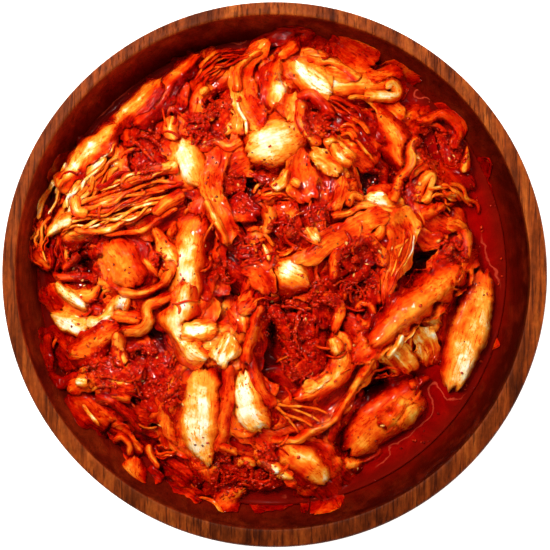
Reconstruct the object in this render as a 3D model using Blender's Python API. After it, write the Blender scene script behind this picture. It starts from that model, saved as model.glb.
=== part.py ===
"""A turned wooden bowl of cabbage kimchi, heaped above its rim and standing in its red brine.

The bowl is a solid of revolution between two ellipses. The brine fills it to a flat level. The kimchi
is one heap: a dome whose surface carries the folds of the leaves and stems that lie in it. The
largest stems and slabs of cabbage are pieces of their own, nested in the heap or in the brine.
Lengths in the tables are in millimetres, and MM turns them into metres. +X is right, +Y is away,
+Z is up, and the origin is the middle of the bowl's foot.
"""

import math

import bmesh
import bpy
from mathutils import Vector, geometry, noise

MM = 0.001
GAP = 0.3 * MM
SHARP_ANGLE = math.radians(45)

# The bowl: an outer ellipse cut off by the foot, and an inner half ellipse, both centred at the rim.
BOWL_RADIUS = 100 * MM
BOWL_HEIGHT = 65 * MM
FOOT_RADIUS = 48 * MM
RIM_WIDTH = 6.1 * MM
RIM_ROUNDING = 1.2 * MM
FLOOR_THICKNESS = 8.5 * MM
OPENING_SHIFT = Vector((-0.7 * MM, 1.0 * MM))
BOWL_SEGMENTS = 56
OUTER_RINGS = 6
INNER_RINGS = 8
LAST_TURN = math.radians(82)
ROUNDING_STEPS = 2

OPENING_RADIUS = BOWL_RADIUS - RIM_WIDTH
OPENING_DEPTH = BOWL_HEIGHT - FLOOR_THICKNESS
OUTER_DEPTH = BOWL_HEIGHT / math.sqrt(1 - (FOOT_RADIUS / BOWL_RADIUS) ** 2)

# The brine and the heap. The heap keeps a film of brine between itself and the bowl.
BRINE_LEVEL = 45 * MM
BRINE_FILM = 3 * MM
HEAP_RISE = 27 * MM
HEAP_REACH = 98 * MM
HEAP_CREST = Vector((-8 * MM, 8 * MM))
HEAP_TILT = 0.03
HEAP_LEAST_RISE = 2.5 * MM
HEAP_FLOOR_RISE = 0.6 * MM
VALLEY_DEPTH = 6.5 * MM
CRUMPLE = 1.2 * MM
CRUMPLE_SIZE = 9 * MM
HEAP_SEGMENTS = 64
HEAP_SIDE_RINGS = 4

# The heap's surface is a lattice of equilateral triangles that stops short of the outline, joined to
# it by triangulation, which keeps what is inside the outline.
LATTICE = 3.55 * MM
LATTICE_ROW = LATTICE * math.sin(math.pi / 3)
LATTICE_MARGIN = 0.6 * LATTICE
KEEP_INSIDE = 1
LEAST_SPACING = 1e-7

# A fold reaches this many half widths from its crest, and falls ever more steeply to the valley.
FOLD_SPREAD = 1.35
FOLD_STEEPNESS = 3
FOLD_STEPS_PER_POINT = 3

# How far the heap reaches from the bowl's axis, for each step of 15 degrees from +X, a quarter a line.
HEAP_OUTLINE = (
    (76, 81, 82, 78, 73, 82)
    + (88, 88, 88, 88, 88, 89)
    + (89, 88, 87, 86, 88, 84)
    + (80, 78, 74, 68, 68, 70)
)

# Folds of the heap: where a leaf's crest runs, how wide it is and how high over the dome.
LEAF_FOLDS = (
    (((22, 75), (30, 81), (38, 87)), 14, 0),
    (((-6, 86), (8, 87), (22, 85)), 8, -2),
    (((-29, 72), (-20, 79), (-10, 83)), 8, 0),
    (((-28, 60), (-27, 69), (-20, 74), (-14, 77)), 7, 2),
    (((-7, 84), (-11, 75), (-9, 66), (-5, 57)), 9, 3),
    (((-24, 52), (-16, 56), (-12, 64)), 14, 2),
    (((-21, 48), (-22, 35), (-20, 25), (-16, 12)), 9, 3),
    (((-29, 82), (-35, 74), (-42, 66)), 6, 1),
    (((-42, 70), (-52, 61), (-62, 52), (-72, 43), (-80, 32), (-84, 24)), 9, 3),
    (((-55, 45), (-66, 36), (-78, 24), (-88, 10)), 15, 2),
    (((-78, 14), (-60, 24), (-45, 30), (-32, 38)), 16, 4),
    (((-44, 15), (-40, 8), (-36, 3)), 7, 1),
    (((-80, -3), (-72, -6), (-62, -4)), 10, 1),
    (((-78, -17), (-70, -20), (-58, -12)), 12, 1),
    (((-76, -30), (-66, -26), (-57, -20)), 8, 1),
    (((-40, 4), (-39, -3), (-47, -7), (-57, -7)), 6, 3),
    (((-41, -8), (-46, -14), (-50, -22), (-57, -24), (-56, -34)), 7, 3),
    (((-84, -30), (-80, -38), (-71, -38)), 9, -1),
    (((-76, -42), (-66, -50), (-57, -56)), 9, -3),
    (((-68, -33), (-58, -38), (-46, -40)), 14, 1),
    (((-60, -47), (-50, -56), (-45, -63)), 10, 0),
    (((-66, -58), (-56, -68), (-47, -78)), 14, 0),
    (((-34, -12), (-36, -20), (-32, -28), (-24, -31)), 10, 3),
    (((-5, -52), (8, -54), (20, -48), (30, -36), (37, -24)), 22, 3),
    (((4, -10), (10, -20), (14, -32)), 14, 1),
    (((24, -22), (26, -32), (20, -40), (10, -44)), 9, 4),
    (((2, -4), (14, 6), (24, 14), (40, 20)), 11, 3),
    (((20, 27), (42, 22), (50, 16), (44, 2), (38, -10)), 17, 4),
    (((20, 0), (26, 8), (34, 8), (40, 0)), 7, 4),
    (((8, 45), (14, 32), (15, 14)), 10, 4),
    (((-12, 28), (-8, 20), (-6, 6)), 10, 2),
    (((8, 64), (20, 61), (30, 54), (36, 40)), 12, 2),
    (((38, 60), (44, 52), (47, 42)), 9, 3),
    (((34, 62), (44, 66), (46, 72)), 9, 0),
    (((52, 56), (60, 59), (66, 56), (69, 44)), 7, 2),
    (((44, 38), (47, 28), (54, 24)), 9, 3),
    (((58, 33), (68, 28), (76, 22)), 9, 2),
    (((62, 14), (72, 30), (66, 42)), 12, 1),
    (((70, 18), (72, 10), (73, 4)), 7, 2),
    (((57, -14), (54, -24), (44, -31)), 14, -1),
    (((-44, -64), (-34, -68), (-22, -74)), 12, 0),
    (((-30, -84), (-20, -84), (-12, -80)), 9, -1),
    (((10, -82), (18, -85), (24, -84)), 10, 0),
)

# Large pieces of cabbage: crest points (along, across, over the dome), width and thickness, how blunt
# each end is (0 runs to a point, 1 is square) and how far the piece rolls sideways, in degrees.
LARGE_PIECES = {
    "stem_top_middle": (((-10, 43.5, 6), (-3, 47, 7.5), (5, 50, 7), (12, 53, 4)), 15.5, 6.5, 0.8, 0.5, 8),
    "stem_top_upright": (((1, 59, 3), (1.5, 66, 4), (2.5, 74, 4), (5, 81, 1)), 9, 5, 0.6, 0.5, 0),
    "stem_top_right": (((11, 75, 3), (18, 71, 4), (30, 70, 4), (45, 72.5, 1)), 10, 5, 0.8, 0.5, 0),
    "stem_left_middle": (((-33, 50, 3), (-31, 44, 5.5), (-29, 38, 6), (-26, 32, 4)), 11, 6, 0.7, 0.5, -10),
    "stem_middle": (((-27, 21, 4.5), (-29.5, 12, 6), (-31, 2, 6), (-30.5, -9, 4)), 10.5, 6, 0.45, 0.5, 0),
    "stem_left_broad": (((-60, 13, 3), (-56, 6, 5), (-53, 0, 5), (-51, -5, 2)), 13.5, 6, 0.7, 0.6, 10),
    "stem_bottom_left": (
        ((-25, -34, 5), (-26, -47, 6.5), (-27, -58, 6.5), (-24, -71, 4)), 16, 7, 0.75, 0.15, 0
    ),
    "stem_bottom_middle": (
        ((-11, -35, 4), (-10, -43, 6), (-8, -51, 6), (-3, -58, 4)), 11.5, 6, 0.15, 0.65, 0
    ),
    "stem_centre": (((1, 3, 4), (5, 0.5, 6), (9, -2, 6), (12.5, -5, 4)), 12, 5.5, 0.8, 0.7, 0),
    "stem_right_long": (((69, 3, 5), (60, -4, 7), (48, -13, 8), (35, -26, 6)), 9, 5.5, 0.6, 0.4, 12),
    "slab_right": (((77.5, 2, 0), (75.5, -9, 1.5), (70.5, -23, 2.5), (66, -41, 2)), 13.5, 5.5, 0.5, 0.5, -4),
    "slab_low_right": (((55, -44, 1), (45, -50.5, 2), (35, -58, 1), (28, -67, 0)), 17, 6, 0.6, 0.6, -24),
    "stem_bottom": (((2, -63, 3), (8, -67, 4.5), (14, -72, 5), (19, -78, 3)), 11.5, 5.5, 0.7, 0.65, 0),
}
PIECE_STATIONS = 8
PIECE_SIDES = 7
LEAST_END = 0.72
LEAST_THICKNESS = 0.4
ROUNDED_SHARE = 0.3
BOTTOM_FLATNESS = 0.75

# Colours (linear), roughness.
WOOD = ((0.28, 0.072, 0.022, 1.0), 0.5)
BRINE = ((0.21, 0.002, 0.001, 1.0), 0.1)
HEAP = ((0.56, 0.028, 0.004, 1.0), 0.3)
STEM = ((0.82, 0.36, 0.12, 1.0), 0.3)


def clear_scene():
    for old in list(bpy.data.objects):
        bpy.data.objects.remove(old, do_unlink=True)


def make_material(name, looks):
    colour, roughness = looks
    material = bpy.data.materials.new(name)
    material.use_nodes = True
    shader = material.node_tree.nodes["Principled BSDF"]
    shader.inputs["Base Color"].default_value = colour
    shader.inputs["Roughness"].default_value = roughness
    shader.inputs["Metallic"].default_value = 0.0
    return material


def add_object(name, shape, material=None):
    """Turns a bmesh into a smooth-shaded object with its faces pointing out."""
    bmesh.ops.recalc_face_normals(shape, faces=shape.faces)
    mesh = bpy.data.meshes.new(name)
    shape.to_mesh(mesh)
    shape.free()
    mesh.shade_smooth()
    mesh.set_sharp_from_angle(angle=SHARP_ANGLE)
    if material:
        mesh.materials.append(material)
    made = bpy.data.objects.new(name, mesh)
    bpy.context.scene.collection.objects.link(made)
    return made


def add_cutter(name, shape):
    cutter = add_object(name, shape)
    cutter.hide_render = True
    cutter.display_type = "WIRE"
    return cutter


def subtract(target, cutter):
    cut = target.modifiers.new("clear of " + cutter.name, "BOOLEAN")
    cut.operation = "DIFFERENCE"
    cut.solver = "EXACT"
    cut.object = cutter


def skin_rings(shape, rings):
    """Joins rings of points of one length with triangulated bands, and returns their vertices."""
    made = [[shape.verts.new(point) for point in ring] for ring in rings]
    for lower, upper in zip(made, made[1:]):
        count = len(lower)
        for i in range(count):
            j = (i + 1) % count
            quad = shape.faces.new((lower[i], lower[j], upper[j], upper[i]))
            bmesh.ops.triangulate(shape, faces=[quad])
    return made


def circle(radius, height, centre=Vector((0, 0)), count=BOWL_SEGMENTS):
    points = []
    for i in range(count):
        turn = 2 * math.pi * i / count
        x = centre.x + radius * math.cos(turn)
        y = centre.y + radius * math.sin(turn)
        points.append(Vector((x, y, height)))
    return points


# ---------------------------------------------------------------- bowl


def outer_radius(height):
    return BOWL_RADIUS * math.sqrt(1 - ((BOWL_HEIGHT - height) / OUTER_DEPTH) ** 2)


def inner_radius(height, clearance=0.0):
    """Radius of the bowl's inner wall at a height, drawn in by a clearance."""
    down = (BOWL_HEIGHT - height) / (OPENING_DEPTH - clearance)
    return (OPENING_RADIUS - clearance) * math.sqrt(max(0.0, 1 - down * down))


def inner_profile():
    """Radius and height of each inner ring, from under the rim's rounding to the flat of the floor."""
    first_turn = math.asin(2 * RIM_ROUNDING / OPENING_DEPTH)
    turns = (first_turn + (LAST_TURN - first_turn) * i / (INNER_RINGS - 1) for i in range(INNER_RINGS))
    return [(OPENING_RADIUS * math.cos(a), BOWL_HEIGHT - OPENING_DEPTH * math.sin(a)) for a in turns]


def brine_profile():
    """The inner profile below the brine's level, drawn in by the gap."""
    profile = inner_profile()
    wet = [(radius - GAP, height + GAP) for radius, height in profile if height < BRINE_LEVEL - GAP]
    (wide, high), (narrow, low) = next(
        pair for pair in zip(profile, profile[1:]) if pair[0][1] >= BRINE_LEVEL - GAP > pair[1][1]
    )
    share = (high - BRINE_LEVEL) / (high - low)
    return [(wide + (narrow - wide) * share - GAP, BRINE_LEVEL), *wet]


def bowl_shape():
    shape = bmesh.new()
    rings = []
    foot_turn = math.acos(FOOT_RADIUS / BOWL_RADIUS)
    rim_turn = math.asin(RIM_ROUNDING / OUTER_DEPTH)
    for i in range(OUTER_RINGS):
        turn = foot_turn + (rim_turn - foot_turn) * i / (OUTER_RINGS - 1)
        rings.append(circle(BOWL_RADIUS * math.cos(turn), BOWL_HEIGHT - OUTER_DEPTH * math.sin(turn)))
    for i in range(1, ROUNDING_STEPS + 1):
        turn = math.pi / 2 * i / ROUNDING_STEPS
        inset = RIM_ROUNDING * (1 - math.cos(turn))
        height = BOWL_HEIGHT - RIM_ROUNDING * (1 - math.sin(turn))
        rings.append(circle(BOWL_RADIUS - inset, height))
    for i in range(ROUNDING_STEPS + 1):
        turn = math.pi / 2 * i / ROUNDING_STEPS
        inset = RIM_ROUNDING * (1 - math.sin(turn))
        height = BOWL_HEIGHT - RIM_ROUNDING * (1 - math.cos(turn))
        rings.append(circle(OPENING_RADIUS + inset, height, OPENING_SHIFT))
    rings += [circle(radius, height, OPENING_SHIFT) for radius, height in inner_profile()]
    made = skin_rings(shape, rings)
    shape.faces.new(list(reversed(made[0])))
    shape.faces.new(made[-1])
    return shape


# ---------------------------------------------------------------- heap


def smooth_route(points, steps):
    """Points along a smooth curve through the given ones, its ends kept."""
    ends = [2 * points[0] - points[1], *points, 2 * points[-1] - points[-2]]
    route = []
    for step in range(steps):
        where = step * (len(points) - 1) / (steps - 1)
        k = min(int(where), len(points) - 2)
        t = where - k
        a, b, c, d = ends[k : k + 4]
        bend = (2 * a - 5 * b + 4 * c - d) * t**2 + (3 * b - a - 3 * c + d) * t**3
        route.append(0.5 * (2 * b + (c - a) * t + bend))
    return route


def outline_radius(angle):
    """How far the heap reaches at an angle, eased between the outline's steps."""
    count = len(HEAP_OUTLINE)
    where = (angle / (2 * math.pi)) % 1.0 * count
    k = int(where)
    ease = 0.5 - 0.5 * math.cos(math.pi * (where - k))
    return MM * (HEAP_OUTLINE[k % count] * (1 - ease) + HEAP_OUTLINE[(k + 1) % count] * ease)


def dome_height(x, y):
    """The heap's height without its folds: a paraboloid that leans up to the left."""
    away = (Vector((x, y)) - HEAP_CREST).length / HEAP_REACH
    return BRINE_LEVEL + HEAP_RISE * (1 - away * away) - HEAP_TILT * x


def route_distance(spot, route):
    """The least distance from a spot to the straight stretches between a route's points."""
    nearest = math.inf
    for a, b in zip(route, route[1:]):
        span = b - a
        t = max(0.0, min(1.0, (spot - a).dot(span) / span.length_squared))
        nearest = min(nearest, (spot - a - t * span).length)
    return nearest


def fold_routes():
    routes = []
    for points, width, lift in LEAF_FOLDS:
        crest = smooth_route([Vector(point) * MM for point in points], FOLD_STEPS_PER_POINT * len(points))
        routes.append((crest, width * MM / 2, lift * MM))
    return routes


def heap_height(x, y, routes):
    """The heap's surface: the dome sunk by a valley, with each fold's rounded crest rising out of it."""
    spot = Vector((x, y))
    over = -VALLEY_DEPTH
    for crest, half_width, lift in routes:
        away = route_distance(spot, crest) / (FOLD_SPREAD * half_width)
        if away < 1:
            over = max(over, -VALLEY_DEPTH + (lift + VALLEY_DEPTH) * (1 - away**FOLD_STEEPNESS))
    wave = CRUMPLE * noise.noise(Vector((x, y, 0.0)) / CRUMPLE_SIZE)
    return max(dome_height(x, y) + over + wave, BRINE_LEVEL + HEAP_LEAST_RISE)


def heap_shape(swell=0.0):
    """The heap as one closed solid, grown all round by swell."""
    routes = fold_routes()
    turns = [2 * math.pi * i / HEAP_SEGMENTS for i in range(HEAP_SEGMENTS)]
    edge = [Vector((math.cos(a), math.sin(a))) * (outline_radius(a) + swell) for a in turns]
    inside = []
    rows = int(BOWL_RADIUS / LATTICE_ROW)
    for row in range(-rows, rows + 1):
        for column in range(-rows, rows + 1):
            spot = Vector((LATTICE * (column + 0.5 * (row % 2)), LATTICE_ROW * row))
            if spot.length < outline_radius(math.atan2(spot.y, spot.x)) + swell - LATTICE_MARGIN:
                inside.append(spot)
    loop = list(range(HEAP_SEGMENTS))
    flat = geometry.delaunay_2d_cdt(edge + inside, [], [loop], KEEP_INSIDE, LEAST_SPACING)
    spots, triangles = flat[0], flat[2]

    shape = bmesh.new()
    top = [shape.verts.new((p.x, p.y, heap_height(p.x, p.y, routes) + swell)) for p in spots]
    for triangle in triangles:
        shape.faces.new([top[k] for k in triangle])
    floor_level = BOWL_HEIGHT - OPENING_DEPTH + BRINE_FILM - swell
    side_top = BRINE_LEVEL + GAP
    sides = []
    for i in range(HEAP_SIDE_RINGS):
        turn = math.pi / 2 * i / (HEAP_SIDE_RINGS - 1)
        height = floor_level + (side_top - floor_level) * (1 - math.sin(turn))
        wall = inner_radius(max(height, floor_level + HEAP_FLOOR_RISE), BRINE_FILM - swell)
        ring = []
        for p in edge:
            radius = min(p.length, wall)
            ring.append(Vector((*(p.normalized() * radius + OPENING_SHIFT * (radius < p.length)), height)))
        sides.append(ring)
    made = skin_rings(shape, sides)
    upper = [top[flat[0].index(spots[i])] for i in loop]
    for i in loop:
        j = (i + 1) % HEAP_SEGMENTS
        quad = shape.faces.new((made[0][i], made[0][j], upper[j], upper[i]))
        bmesh.ops.triangulate(shape, faces=[quad])
    shape.faces.new(made[-1])
    return shape


# ---------------------------------------------------------------- large pieces


def piece_shape(form, swell=0.0):
    """A bent, crowned slab of cabbage stem: rounded sections along a smooth crest line."""
    points, width, thickness, first_end, last_end, roll = form
    crests = [Vector((x * MM, y * MM, dome_height(x * MM, y * MM) + over * MM)) for x, y, over in points]
    route = smooth_route(crests, PIECE_STATIONS)
    rings = []
    for i, crest in enumerate(route):
        ahead = (route[min(i + 1, len(route) - 1)] - route[max(i - 1, 0)]).normalized()
        side = Vector((-ahead.y, ahead.x, 0)).normalized()
        up = ahead.cross(side).normalized()
        up = -up if up.z < 0 else up
        lean = math.radians(roll)
        side, up = side * math.cos(lean) + up * math.sin(lean), up * math.cos(lean) - side * math.sin(lean)
        along = i / (PIECE_STATIONS - 1)
        end = first_end if along < 0.5 else last_end
        from_end = 1 - abs(2 * along - 1)
        taper = end + (1 - end) * math.sin(math.pi / 2 * from_end)
        fullness = taper * min(1.0, LEAST_END + (1 - LEAST_END) * math.sqrt(from_end / ROUNDED_SHARE))
        half_width = width * MM / 2 * fullness + swell
        half_thickness = thickness * MM / 2 * (LEAST_THICKNESS + (1 - LEAST_THICKNESS) * fullness) + swell
        centre = crest - up * (half_thickness - swell)
        if i == 0:
            centre = centre - ahead * swell
        if i == len(route) - 1:
            centre = centre + ahead * swell
        ring = []
        for k in range(PIECE_SIDES):
            turn = 2 * math.pi * (k + 0.5) / PIECE_SIDES
            rise = half_thickness * math.sin(turn) * (BOTTOM_FLATNESS if math.sin(turn) < 0 else 1.0)
            ring.append(centre + side * half_width * math.cos(turn) + up * rise)
        rings.append(ring)
    shape = bmesh.new()
    made = skin_rings(shape, rings)
    shape.faces.new(list(reversed(made[0])))
    shape.faces.new(made[-1])
    return shape


def brine_shape():
    """Everything under the brine's level inside the bowl; the food is cut out of it afterwards."""
    shape = bmesh.new()
    made = skin_rings(shape, [circle(radius, height, OPENING_SHIFT) for radius, height in brine_profile()])
    shape.faces.new(list(reversed(made[0])))
    shape.faces.new(made[-1])
    return shape


def main():
    clear_scene()
    add_object("bowl", bowl_shape(), make_material("wood", WOOD))
    brine = add_object("brine", brine_shape(), make_material("brine", BRINE))
    heap = add_object("kimchi_heap", heap_shape(), make_material("kimchi", HEAP))
    subtract(brine, add_cutter("heap_clearance", heap_shape(GAP)))
    cabbage = make_material("cabbage_stem", STEM)
    for name, form in LARGE_PIECES.items():
        add_object(name, piece_shape(form), cabbage)
        clearance = add_cutter(name + "_clearance", piece_shape(form, GAP))
        subtract(heap, clearance)
        subtract(brine, clearance)


main()
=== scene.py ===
"""Looks of a wooden bowl of cabbage kimchi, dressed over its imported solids.

The pile is laid piece by piece, from the bottom up. Each piece of cabbage is a closed sheet or slab bent
along a route; laying it presses down what lies under it, and it then becomes part of the pile's height
map, over which limp leaves drape. Lengths are in millimetres until mesh_object turns them into metres,
apart from those of the materials, the floor, the lamps and the camera, which are in metres. +X is right,
+Y away and +Z up, and the origin is the middle of the bowl's foot.
"""

import math

import bpy
import numpy as np
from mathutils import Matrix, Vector


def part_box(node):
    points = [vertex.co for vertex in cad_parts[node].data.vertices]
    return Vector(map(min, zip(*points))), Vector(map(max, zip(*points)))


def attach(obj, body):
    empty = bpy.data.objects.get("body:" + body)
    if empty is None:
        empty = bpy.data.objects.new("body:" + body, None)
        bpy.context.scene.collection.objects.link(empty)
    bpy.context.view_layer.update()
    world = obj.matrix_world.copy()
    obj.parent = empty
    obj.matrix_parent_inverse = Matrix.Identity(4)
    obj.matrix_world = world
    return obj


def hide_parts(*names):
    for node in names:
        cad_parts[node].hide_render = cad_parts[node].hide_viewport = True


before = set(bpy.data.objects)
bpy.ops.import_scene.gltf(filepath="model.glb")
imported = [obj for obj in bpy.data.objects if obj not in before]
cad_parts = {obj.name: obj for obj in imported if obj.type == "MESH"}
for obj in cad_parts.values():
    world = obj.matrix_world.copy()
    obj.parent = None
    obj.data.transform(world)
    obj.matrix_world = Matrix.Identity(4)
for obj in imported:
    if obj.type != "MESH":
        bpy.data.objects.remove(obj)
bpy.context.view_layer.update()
MM = 0.001

# ---------------------------------------------------------------- sizes of the solids

_, BOWL_HIGH = (np.array(corner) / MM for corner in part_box("bowl"))
BRINE_LOW, BRINE_HIGH = (np.array(corner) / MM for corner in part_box("brine"))
BOWL_RADIUS = BOWL_HIGH[1]
RIM = BOWL_HIGH[2]
BRINE_LEVEL = BRINE_HIGH[2]
# What a box can't tell, as in the part's source.
FOOT_RADIUS = 48.0
RIM_WIDTH = 6.1
FLOOR_THICKNESS = 8.5
OPENING_SHIFT = np.array([-0.7, 1.0])
OPENING_RADIUS = BOWL_RADIUS - RIM_WIDTH
OPENING_DEPTH = RIM - FLOOR_THICKNESS
OUTER_DEPTH = RIM / math.sqrt(1 - (FOOT_RADIUS / BOWL_RADIUS) ** 2)

# The dome that the kimchi heap follows, as in its solid.
HEAP_RISE = 27.0
HEAP_REACH = 98.0
HEAP_CREST = (-8.0, 8.0)
HEAP_TILT = 0.03


def dome(x, y):
    """Height of the heap's dome over a spot."""
    away = ((x - HEAP_CREST[0]) ** 2 + (y - HEAP_CREST[1]) ** 2) / HEAP_REACH**2
    return BRINE_LEVEL + HEAP_RISE * (1 - away) - HEAP_TILT * x


def wall_height(x, y):
    """Height of the bowl's inner surface at a spot, and the rim's height outside the opening."""
    away = ((x - OPENING_SHIFT[0]) ** 2 + (y - OPENING_SHIFT[1]) ** 2) / OPENING_RADIUS**2
    inside = RIM - OPENING_DEPTH * np.sqrt(np.clip(1 - away, 0, 1))
    return np.where(away < 1, inside, RIM)


# ---------------------------------------------------------------- noise


def lattice_turn(ix, iy, seed):
    """A fixed pseudo-random angle for each lattice point."""
    code = (ix * 374761393 + iy * 668265263 + seed * 974634777) & 0xFFFFFFFF
    code = ((code ^ (code >> 13)) * 1274126177) & 0xFFFFFFFF
    return (code ^ (code >> 16)) * (2 * np.pi / 2**32)


def noise(x, y, seed=0):
    """Smooth noise between about -1 and 1, one cell for each unit."""
    x, y = np.broadcast_arrays(np.asarray(x, float), np.asarray(y, float))
    ix, iy = np.floor(x).astype(np.int64), np.floor(y).astype(np.int64)
    fx, fy = x - ix, y - iy
    ease_x = fx * fx * fx * (fx * (fx * 6 - 15) + 10)
    ease_y = fy * fy * fy * (fy * (fy * 6 - 15) + 10)
    rows = []
    for dy in (0, 1):
        ends = []
        for dx in (0, 1):
            turn = lattice_turn(ix + dx, iy + dy, seed)
            ends.append(np.cos(turn) * (fx - dx) + np.sin(turn) * (fy - dy))
        rows.append(ends[0] + (ends[1] - ends[0]) * ease_x)
    return 1.5 * (rows[0] + (rows[1] - rows[0]) * ease_y)


def ridges(x, y, seed=0):
    """Sharp crests between rounded hollows, from 0 to 1."""
    return 1 - np.minimum(1, np.abs(noise(x, y, seed)) * 1.8)


def ease(value, low, high):
    """0 below low, 1 above high, and an S-curve between."""
    t = np.clip((value - low) / (high - low), 0, 1)
    return t * t * (3 - 2 * t)


# ---------------------------------------------------------------- the pile's height map

CELL = 0.5
HALF = 100.0
COUNT = int(2 * HALF / CELL) + 1
AXIS = np.linspace(-HALF, HALF, COUNT)
GRID_X, GRID_Y = np.meshgrid(AXIS, AXIS, indexing="ij")
PRESS_SLOPE = 3.2
PRESS_REACH = 5
PRESS_GAP = 0.12
LEAST_SHEET = 0.2
NO_HEIGHT = 1e3
VALLEY = 9.0
POOL_DEPTH = 4.0
BED_WAVE = 1.5
BED_WAVE_SIZE = 9.0


def cell_of(x, y):
    """The cell of the height map that holds each spot."""
    ix = np.clip(np.rint((x + HALF) / CELL).astype(int), 0, COUNT - 1)
    iy = np.clip(np.rint((y + HALF) / CELL).astype(int), 0, COUNT - 1)
    return ix, iy


def blurred(field, reach):
    """A field averaged over a square of cells, twice, for a soft fall-off."""
    for _ in range(2):
        for axis in (0, 1):
            before = np.repeat(field.take([0], axis), reach + 1, axis)
            behind = np.repeat(field.take([-1], axis), reach, axis)
            total = np.cumsum(np.concatenate([before, field, behind], axis), axis)
            size = field.shape[axis]
            upper = total.take(range(2 * reach + 1, 2 * reach + 1 + size), axis)
            field = (upper - total.take(range(size), axis)) / (2 * reach + 1)
    return field


pile = np.maximum(dome(GRID_X, GRID_Y) - VALLEY, BRINE_LEVEL - POOL_DEPTH)
pile = pile + BED_WAVE * noise(GRID_X / BED_WAVE_SIZE, GRID_Y / BED_WAVE_SIZE, 3)
laid = []


def doubled(grid):
    """A grid of points with one more between each two, so that no cell of the map is missed."""
    for axis in (0, 1):
        size = grid.shape[axis]
        middle = 0.5 * (grid.take(range(size - 1), axis) + grid.take(range(1, size), axis))
        shape = list(grid.shape)
        shape[axis] = 2 * size - 1
        finer = np.empty(shape)
        where = [slice(None)] * grid.ndim
        where[axis] = slice(0, None, 2)
        finer[tuple(where)] = grid
        where[axis] = slice(1, None, 2)
        finer[tuple(where)] = middle
        grid = finer
    return grid


def lay(piece):
    """Presses down whatever lies under a piece and adds the piece to the pile."""
    fine = doubled(np.dstack([piece["x"], piece["y"], piece["top"], piece["under"]]))
    ix, iy = cell_of(fine[..., 0], fine[..., 1])
    low_x, high_x = max(0, ix.min() - PRESS_REACH), min(COUNT, ix.max() + PRESS_REACH + 1)
    low_y, high_y = max(0, iy.min() - PRESS_REACH), min(COUNT, iy.max() + PRESS_REACH + 1)
    window = (slice(low_x, high_x), slice(low_y, high_y))
    ceiling = np.full((high_x - low_x, high_y - low_y), NO_HEIGHT)
    crown = np.full_like(ceiling, -NO_HEIGHT)
    np.minimum.at(ceiling, (ix - low_x, iy - low_y), fine[..., 3])
    np.maximum.at(crown, (ix - low_x, iy - low_y), fine[..., 2])
    step = PRESS_SLOPE * CELL
    for _ in range(PRESS_REACH):
        ceiling[1:, :] = np.minimum(ceiling[1:, :], ceiling[:-1, :] + step)
        ceiling[:-1, :] = np.minimum(ceiling[:-1, :], ceiling[1:, :] + step)
        ceiling[:, 1:] = np.minimum(ceiling[:, 1:], ceiling[:, :-1] + step)
        ceiling[:, :-1] = np.minimum(ceiling[:, :-1], ceiling[:, 1:] + step)
    for other in laid:
        first_x, last_x, first_y, last_y = other["span"]
        if last_x < low_x or first_x >= high_x or last_y < low_y or first_y >= high_y:
            continue
        a, b = other["cells"]
        inside = (a >= low_x) & (a < high_x) & (b >= low_y) & (b < high_y)
        limit = ceiling[a[inside] - low_x, b[inside] - low_y] - PRESS_GAP
        other["top"][inside] = np.minimum(other["top"][inside], limit)
        other["under"][inside] = np.minimum(other["under"][inside], other["top"][inside] - LEAST_SHEET)
    pile[window] = np.where(crown > -NO_HEIGHT, crown, np.minimum(pile[window], ceiling - PRESS_GAP))
    a, b = cell_of(piece["x"], piece["y"])
    piece["cells"] = (a, b)
    piece["span"] = (a.min(), a.max(), b.min(), b.max())
    laid.append(piece)


# ---------------------------------------------------------------- bent pieces of cabbage


def curve_through(points, where):
    """Points of a smooth curve through the given ones, for each share of the way in where."""
    points = np.asarray(points, float)
    if len(points) == 2:
        return points[0] + (points[1] - points[0]) * where[:, None]
    ends = np.vstack([2 * points[0] - points[1], points, 2 * points[-1] - points[-2]])
    place = where * (len(points) - 1)
    k = np.minimum(place.astype(int), len(points) - 2)
    t = (place - k)[:, None]
    a, b, c, d = ends[k], ends[k + 1], ends[k + 2], ends[k + 3]
    return 0.5 * (2 * b + (c - a) * t + (2 * a - 5 * b + 4 * c - d) * t**2 + (3 * b - a - 3 * c + d) * t**3)


def spread(values, where):
    """A list of values read evenly along the way, or one value everywhere."""
    values = np.atleast_1d(np.asarray(values, float))
    return np.interp(where, np.linspace(0, 1, len(values)), values)


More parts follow.
